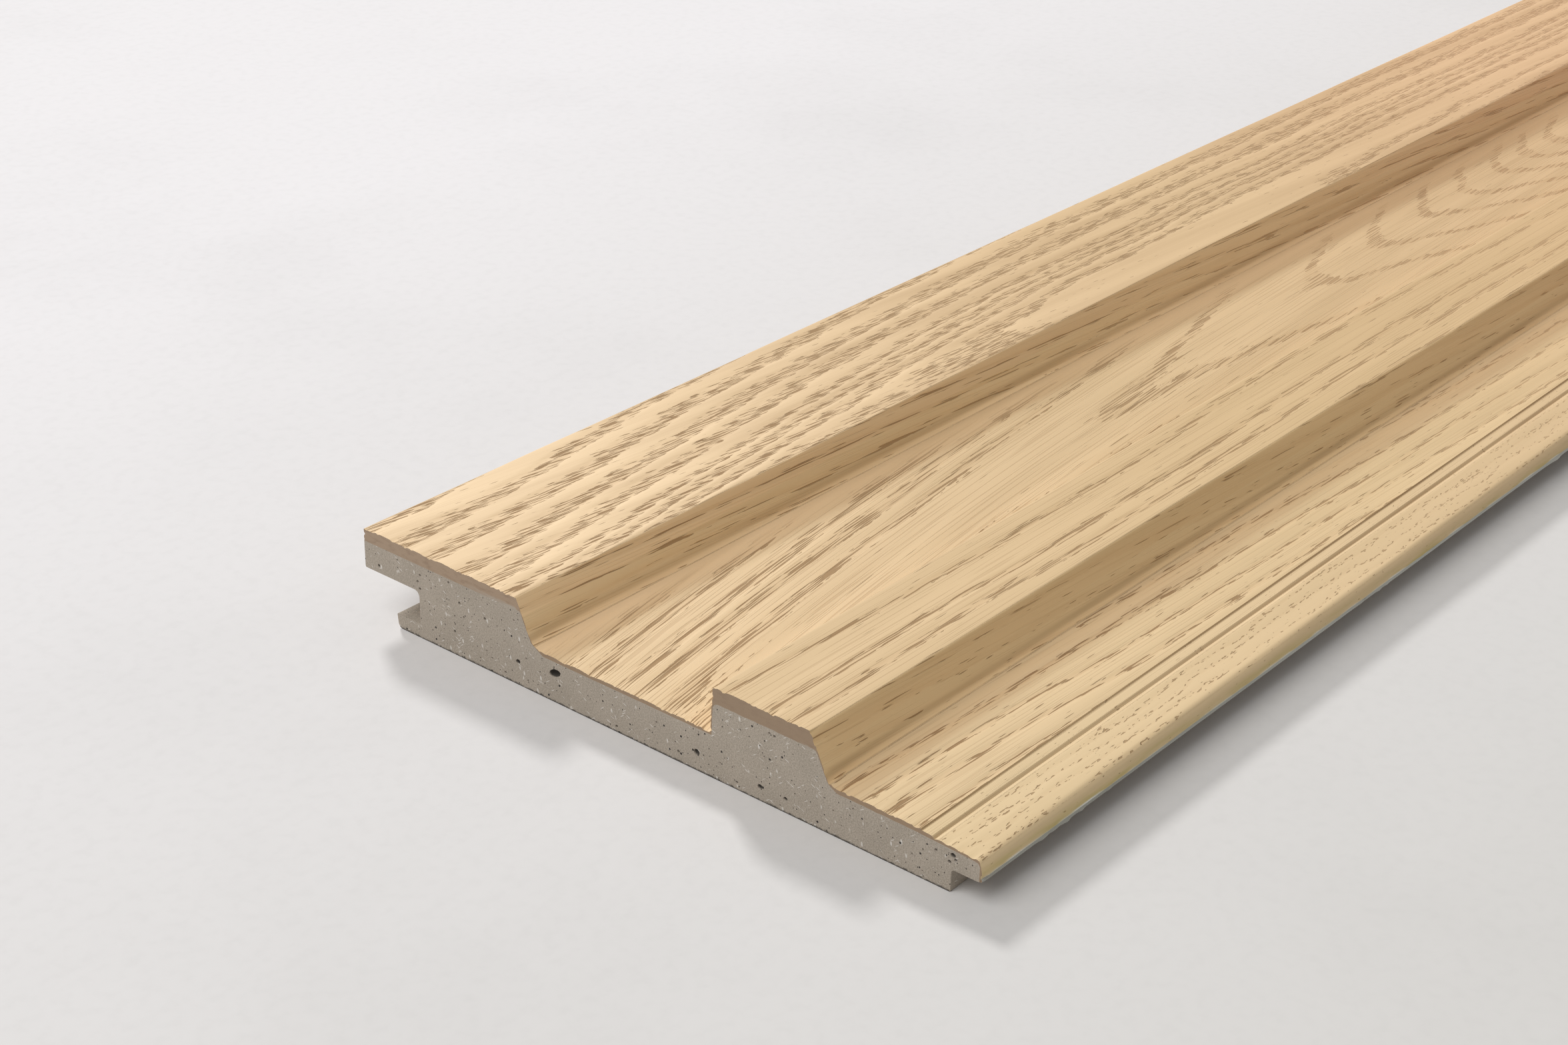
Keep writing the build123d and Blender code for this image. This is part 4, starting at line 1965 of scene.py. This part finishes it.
@dataclass
class TrimmedEdge(FaceStrip):
    """The pale, frayed edge that trimming left on the film under the nose."""

    name: str = "trimmed_edge"
    column: float = 0.25
    fray: Figure = Figure(lining=0.0, seed=31)
    top: float = 1.05
    reach: float = 0.22
    tuft: float = 0.5

    def outer(self) -> list[Corner]:
        """Returns the edge's shown corners, from the nose out and back under it."""
        s = self.section
        return [
            Corner(s.width - 0.1, s.tongue_under + self.top),
            Corner(s.width + self.reach, s.tongue_under + 0.65),
            Corner(s.width + 0.6 * self.reach, s.tongue_under + 0.15),
            Corner(s.width - 0.5, s.tongue_under + 0.25),
        ]

    def bond(self) -> list[Corner]:
        """Returns no more corners, because the last side is inside the nose."""
        return []

    def figures(self) -> list[tuple[Figure, float]]:
        """Returns a plain figure for each side."""
        return [(self.fray, 0.0)] * 3

    def press_more(self, mesh: bpy.types.Mesh, co: np.ndarray) -> None:
        """Frays the free side.

        Args:
            mesh: The edge's mesh.
            co: The vertices' places.
        """
        s = self.section
        along = co[:, 0] / MM
        flat = 0.0 * along
        free = ease(s.width / 2 - co[:, 1] / MM, s.width - 0.1, s.width + self.reach)
        noise = SmoothNoise(61)
        worn = 0.5 * noise.at(along / 12.0, flat) + 0.5 * noise.at(along / 2.3, flat + 7.0)
        clumps = ease(noise.at(along / 31.0, flat + 3.0), 0.2, 0.7)
        tufts = clumps * np.maximum(noise.at(along / 1.9, flat + 11.0), 0.0)
        co[:, 1] -= free * (0.6 * self.reach * worn + self.tuft * tufts) * MM
        co[:, 2] += free * (0.15 * worn - 0.5 * self.tuft * tufts) * MM
        mesh.vertices.foreach_set("co", co.ravel())


@dataclass
class ResinCore:
    """The resin core, with its groove and rebate, and voids where the saw opened it."""

    section: BoardSection
    sawn: SawnResin
    moulded: CoreResin
    name: str = "resin_core_body"
    rows: RowPlan = RowPlan(near_length=600.0, near_rows=4, far_rows=12)
    large_voids: tuple[tuple[float, float, float, float], ...] = (
        (70.9, 8.7, 2.15, 1.15),
        (119.4, 5.3, 0.95, 0.9),
        (57.6, 7.0, 0.85, 0.65),
        (139.9, 4.0, 0.85, 0.7),
        (197.7, 10.3, 0.8, 0.65),
        (147.9, 4.0, 0.7, 0.5),
        (196.8, 8.2, 0.55, 0.45),
        (198.5, 9.3, 0.5, 0.45),
        (34.2, 7.1, 0.5, 0.4),
        (192.8, 9.6, 0.45, 0.4),
    )
    small_voids: int = 110
    void_gap: float = 0.5
    least_void: float = 0.16
    void_range: float = 0.34
    round_from: float = 0.4
    void_tilt: float = 0.5
    end_reach: float = 4.0
    seed: int = 41

    def corners(self) -> list[Corner]:
        """Returns the core's corners, over the top and back under."""
        s = self.section
        shoulder = s.core_shoulder_radius
        end = s.film_end
        under = s.tongue_under
        return [
            Corner(0.0, s.plate_bond),
            Corner(s.first_slope(s.plate_bond) - s.slope_run, s.plate_bond, shoulder),
            Corner(
                s.first_slope(s.wide_bond) - s.slope_run,
                s.wide_bond,
                s.slope_foot_radius + s.wide_channel_skin,
            ),
            Corner(s.batten_side(s.wide_bond) + s.draft_run, s.wide_bond, s.batten_foot_radius),
            Corner(s.batten_side(s.batten_bond) + s.draft_run, s.batten_bond, shoulder),
            Corner(s.second_slope(s.batten_bond) - s.slope_run, s.batten_bond, shoulder),
            Corner(
                s.second_slope(s.narrow_bond) - s.slope_run,
                s.narrow_bond,
                s.slope_foot_radius + s.narrow_channel_skin,
            ),
            Corner(s.lap_line, s.narrow_bond),
            Corner(s.fixing_line, s.fixing_bond),
            Corner(s.nose_bond, s.nose_top - s.tongue_skin, s.nose_top_radius - s.tongue_skin),
            end,
            Corner(s.width - s.nose_bottom_radius, under),
            Corner(s.rebate_root, under, s.rebate_radius),
            Corner(s.rebate_root, 0.0, s.back_edge_radius),
            Corner(s.lower_lip_setback + s.lower_lip_taper, 0.0, s.lower_lip_radius),
            Corner(s.lower_lip_setback, s.lower_lip_thickness, s.lip_edge_radius),
            Corner(s.groove_depth, s.lower_lip_thickness, s.groove_bottom_radius),
            Corner(s.groove_depth, s.groove_top, s.groove_top_radius),
            Corner(0.0, s.groove_top, s.lip_edge_radius),
        ]

    def build(self) -> bpy.types.Object:
        """Models the core, opens its voids and dresses it.

        Returns:
            The finished piece.
        """
        bm = bmesh.new()
        corners = self.corners()
        verts = [bm.verts.new(self.section.place(0.0, c.across, c.up)) for c in corners]
        bm.faces.new(verts)
        round_corners(bm, verts, corners)
        bm.faces.ensure_lookup_table()
        outline = [(self.section.width / 2 - v.co.y / MM, v.co.z / MM) for v in bm.faces[0].verts]
        run_lengthwise(bm, self.section, self.rows)
        mesh = bpy.data.meshes.new(self.name)
        bm.to_mesh(mesh)
        bm.free()
        return show(self.opened(mesh, outline), self.name, "resin_core")

    def opened(self, mesh: bpy.types.Mesh, outline: list[tuple[float, float]]) -> bpy.types.Mesh:
        """Cuts the voids into the sawn ends.

        Args:
            mesh: The plain core.
            outline: Its section, as (across, up).

        Returns:
            The core with voids, with its two materials assigned.
        """
        solid = bpy.data.objects.new(self.name + "_plain", mesh)
        voids = bpy.data.objects.new(self.name + "_voids", self.void_mesh(outline))
        for item in (solid, voids):
            bpy.context.scene.collection.objects.link(item)
        cut = solid.modifiers.new("voids", "BOOLEAN")
        cut.operation = "DIFFERENCE"
        cut.solver = "EXACT"
        cut.object = voids
        graph = bpy.context.evaluated_depsgraph_get()
        made = bpy.data.meshes.new_from_object(solid.evaluated_get(graph))
        made.name = self.name
        for item in (solid, voids):
            bpy.data.objects.remove(item)
        half = self.section.length * MM / 2
        made.materials.clear()
        made.materials.append(self.moulded.material(half))
        made.materials.append(self.sawn.material(half))
        bm = bmesh.new()
        bm.from_mesh(made)
        for face in bm.faces:
            at_end = abs(face.calc_center_median().x) > half - self.end_reach * MM
            face.material_index = int(at_end)
            face.smooth = not at_end
        sharpen(bm)
        bm.to_mesh(made)
        bm.free()
        return made

    def void_mesh(self, outline: list[tuple[float, float]]) -> bpy.types.Mesh:
        """Scatters bubbles over both sawn ends.

        Args:
            outline: The core's section, as (across, up).

        Returns:
            A mesh of closed bubbles.
        """
        rng = np.random.default_rng(self.seed)
        bm = bmesh.new()
        for end in (0.0, self.section.length):
            taken = list(self.large_voids) if end == 0.0 else []
            while len(taken) < self.small_voids:
                across = rng.uniform(2.0, self.section.width - 2.0)
                up = rng.uniform(1.0, self.section.batten_bond)
                wide = self.least_void + self.void_range * rng.random() ** 3
                margin = wide + self.void_gap
                clear = all(math.hypot(across - a, up - b) > c + margin for a, b, c, _ in taken)
                if clear and self.inside(across, up, outline, margin):
                    taken.append((across, up, wide, wide * rng.uniform(0.7, 1.0)))
            for across, up, wide, high in taken:
                middle = self.section.place(end, across, up)
                spread = Matrix.Diagonal((max(wide, high) * MM, wide * MM, high * MM, 1.0))
                turn = Matrix.Rotation(rng.uniform(-self.void_tilt, self.void_tilt), 4, "X")
                bmesh.ops.create_icosphere(
                    bm,
                    subdivisions=2 if wide > self.round_from else 1,
                    radius=1.0,
                    matrix=Matrix.Translation(middle) @ turn @ spread,
                )
        mesh = bpy.data.meshes.new("void_bubbles")
        bm.to_mesh(mesh)
        bm.free()
        return mesh

    @staticmethod
    def inside(across: float, up: float, outline: list[tuple[float, float]], margin: float) -> bool:
        """Tells whether a bubble keeps clear of the section's outline.

        Args:
            across: The bubble's middle across the board.
            up: Its height.
            outline: The section, as (across, up).
            margin: How clear it has to be.

        Returns:
            True if it does.
        """
        here = False
        for (a, b), (c, d) in zip(outline, outline[1:] + outline[:1]):
            if (b > up) != (d > up) and across < a + (up - b) * (c - a) / (d - b):
                here = not here
            run = Vector((c - a, d - b))
            share = min(max((across - a) * run.x + (up - b) * run.y, 0.0), run.length_squared)
            foot = Vector((a, b)) + run * (share / max(run.length_squared, 1e-9))
            if (foot - Vector((across, up))).length < margin:
                return False
        return here


@dataclass
class Studio:
    """The floor, the lamps, the even light and the camera."""

    floor_finish: StudioFloor = StudioFloor()
    floor_size: float = 24.0
    towards_key: tuple[float, float, float] = (0.78, 1.26, 1.0)
    key_strength: float = 1.6
    key_spread: float = 9.0
    towards_fill: tuple[float, float, float] = (-0.55, 0.2, 0.81)
    fill_strength: float = 1.5
    fill_spread: float = 50.0
    room_strength: float = 0.34
    eye: tuple[float, float, float] = (-2.2175, -0.3809, 0.3554)
    yaw: float = 39.046
    pitch: float = 27.289
    roll: float = -1.468
    focal_pixels: float = 3966.9
    image_width: float = 2352.0
    sensor_width: float = 36.0

    def build(self) -> None:
        """Sets the stage."""
        self.lay_floor()
        self.light()
        self.set_camera()
        bpy.context.scene.view_settings.view_transform = "Standard"

    def lay_floor(self) -> None:
        """Lays the floor under the board."""
        bm = bmesh.new()
        bmesh.ops.create_grid(bm, x_segments=1, y_segments=1, size=self.floor_size / 2)
        mesh = bpy.data.meshes.new("studio_floor")
        bm.to_mesh(mesh)
        bm.free()
        mesh.materials.append(self.floor_finish.material())
        floor = bpy.data.objects.new("studio_floor", mesh)
        bpy.context.scene.collection.objects.link(floor)
        floor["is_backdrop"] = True

    def light(self) -> None:
        """Adds the key lamp behind the board, a wide fill in front of it and even light from all round."""
        self.add_lamp("key_lamp", self.towards_key, self.key_strength, self.key_spread)
        self.add_lamp("fill_lamp", self.towards_fill, self.fill_strength, self.fill_spread)
        world = bpy.data.worlds.new("studio_room")
        world.use_nodes = True
        background = world.node_tree.nodes["Background"]
        background.inputs["Color"].default_value = rgb(1.0, 1.0, 1.0)
        background.inputs["Strength"].default_value = self.room_strength
        bpy.context.scene.world = world

    @staticmethod
    def add_lamp(name: str, towards: tuple[float, float, float], strength: float, spread: float) -> None:
        """Adds a distant lamp.

        Args:
            name: The lamp's name.
            towards: The way to it from the board.
            strength: Its strength.
            spread: How wide it looks, in degrees.
        """
        lamp = bpy.data.lights.new(name, "SUN")
        lamp.energy = strength
        lamp.angle = math.radians(spread)
        stand = bpy.data.objects.new(name, lamp)
        stand.rotation_mode = "QUATERNION"
        stand.rotation_quaternion = Vector(towards).to_track_quat("Z", "Y")
        bpy.context.scene.collection.objects.link(stand)

    def set_camera(self) -> None:
        """Stands the camera where the photograph was taken."""
        yaw, pitch, roll = (math.radians(a) for a in (self.yaw, self.pitch, self.roll))
        ahead = Vector((math.cos(pitch) * math.cos(yaw), math.cos(pitch) * math.sin(yaw), -math.sin(pitch)))
        level = Vector((math.sin(yaw), -math.cos(yaw), 0.0))
        below = ahead.cross(level)
        right = math.cos(roll) * level + math.sin(roll) * below
        down = math.cos(roll) * below - math.sin(roll) * level
        turn = Matrix((right, -down, -ahead)).transposed()
        lens = bpy.data.cameras.new("photo_camera")
        lens.sensor_fit = "HORIZONTAL"
        lens.sensor_width = self.sensor_width
        lens.lens = self.focal_pixels * self.sensor_width / self.image_width
        lens.clip_start, lens.clip_end = 0.01, 100.0
        camera = bpy.data.objects.new("photo_camera", lens)
        camera.matrix_world = Matrix.Translation(Vector(self.eye)) @ turn.to_4x4()
        bpy.context.scene.collection.objects.link(camera)
        bpy.context.scene.camera = camera


def main() -> None:
    """Builds the board and its studio."""
    logging.basicConfig(level=logging.INFO, format="%(name)s: %(message)s")
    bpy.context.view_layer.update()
    section = BoardSection.from_frame()
    rows = RowPlan()
    strips = (
        PlateFace(
            section,
            rows,
            GrainedSkin(
                "plate_grain",
                pore_length=8.0,
                pore_width=0.5,
                falloff_shade=rgb(0.823, 0.787, 0.727),
                falloff_to=310.0,
                distant=rgb(1.1, 1.035, 1.06),
                far_fade=0.3,
                distant_from=380.0,
                distant_to=600.0,
            ),
            SawnSkin("plate_sawn_skin", outer=rgb(0.385, 0.278, 0.19), fade_to=0.36),
        ),
        WideChannelFace(
            section,
            rows,
            GrainedSkin(
                "wide_channel_grain",
                pale=rgb(0.835, 0.617, 0.366),
                tan=rgb(0.74, 0.54, 0.31),
                falloff_shade=rgb(0.862, 0.847, 0.803),
                slope_light=rgb(1.07, 1.085, 1.065),
                pore_strength=0.85,
                pore_length=24.0,
            ),
            SawnSkin("wide_channel_sawn_skin"),
        ),
        BattenFace(
            section,
            rows,
            GrainedSkin(
                "batten_grain",
                pale=rgb(0.765, 0.555, 0.315),
                tan=rgb(0.695, 0.5, 0.276),
                falloff_shade=rgb(0.95, 0.93, 0.885),
                slope_light=rgb(1.05, 1.02, 0.95),
                pore_strength=0.85,
                pore_length=18.0,
                pore_width=0.62,
            ),
            SawnSkin("batten_sawn_skin", outer=rgb(0.325, 0.23, 0.15), fade_to=0.12),
        ),
        NarrowChannelFace(
            section,
            rows,
            GrainedSkin(
                "narrow_channel_grain",
                pale=rgb(0.778, 0.58, 0.337),
                tan=rgb(0.705, 0.523, 0.298),
                falloff_shade=rgb(0.99, 0.975, 0.945),
                slope_light=rgb(1.05, 1.02, 0.95),
                pore_length=10.0,
                pore_width=0.58,
            ),
            SawnSkin("narrow_channel_sawn_skin"),
        ),
        TongueFace(
            section,
            rows,
            TongueSkin(
                "tongue_grain",
                pale=rgb(0.8, 0.605, 0.355),
                tan=rgb(0.73, 0.55, 0.315),
                falloff_shade=rgb(0.97, 0.94, 0.93),
                band_strength=0.1,
                pore_strength=0.75,
                pore_length=2.3,
                pore_width=0.58,
            ),
            SawnSkin("tongue_sawn_skin"),
        ),
        TrimmedEdge(
            section,
            RowPlan(near_length=900.0, near_rows=600, far_rows=700),
            GrainedSkin(
                "trimmed_film",
                pale=rgb(0.56, 0.56, 0.51),
                tan=rgb(0.36, 0.355, 0.31),
                falloff_shade=rgb(1.0, 1.0, 1.0),
                roughness=0.8,
            ),
            SawnSkin("trimmed_sawn_film"),
        ),
    )
    for strip in strips:
        strip.build()
    ResinCore(section, SawnResin("sawn_resin"), CoreResin("moulded_resin")).build()
    Studio().build()
    bpy.context.view_layer.update()


if __name__ == "__main__":
    main()
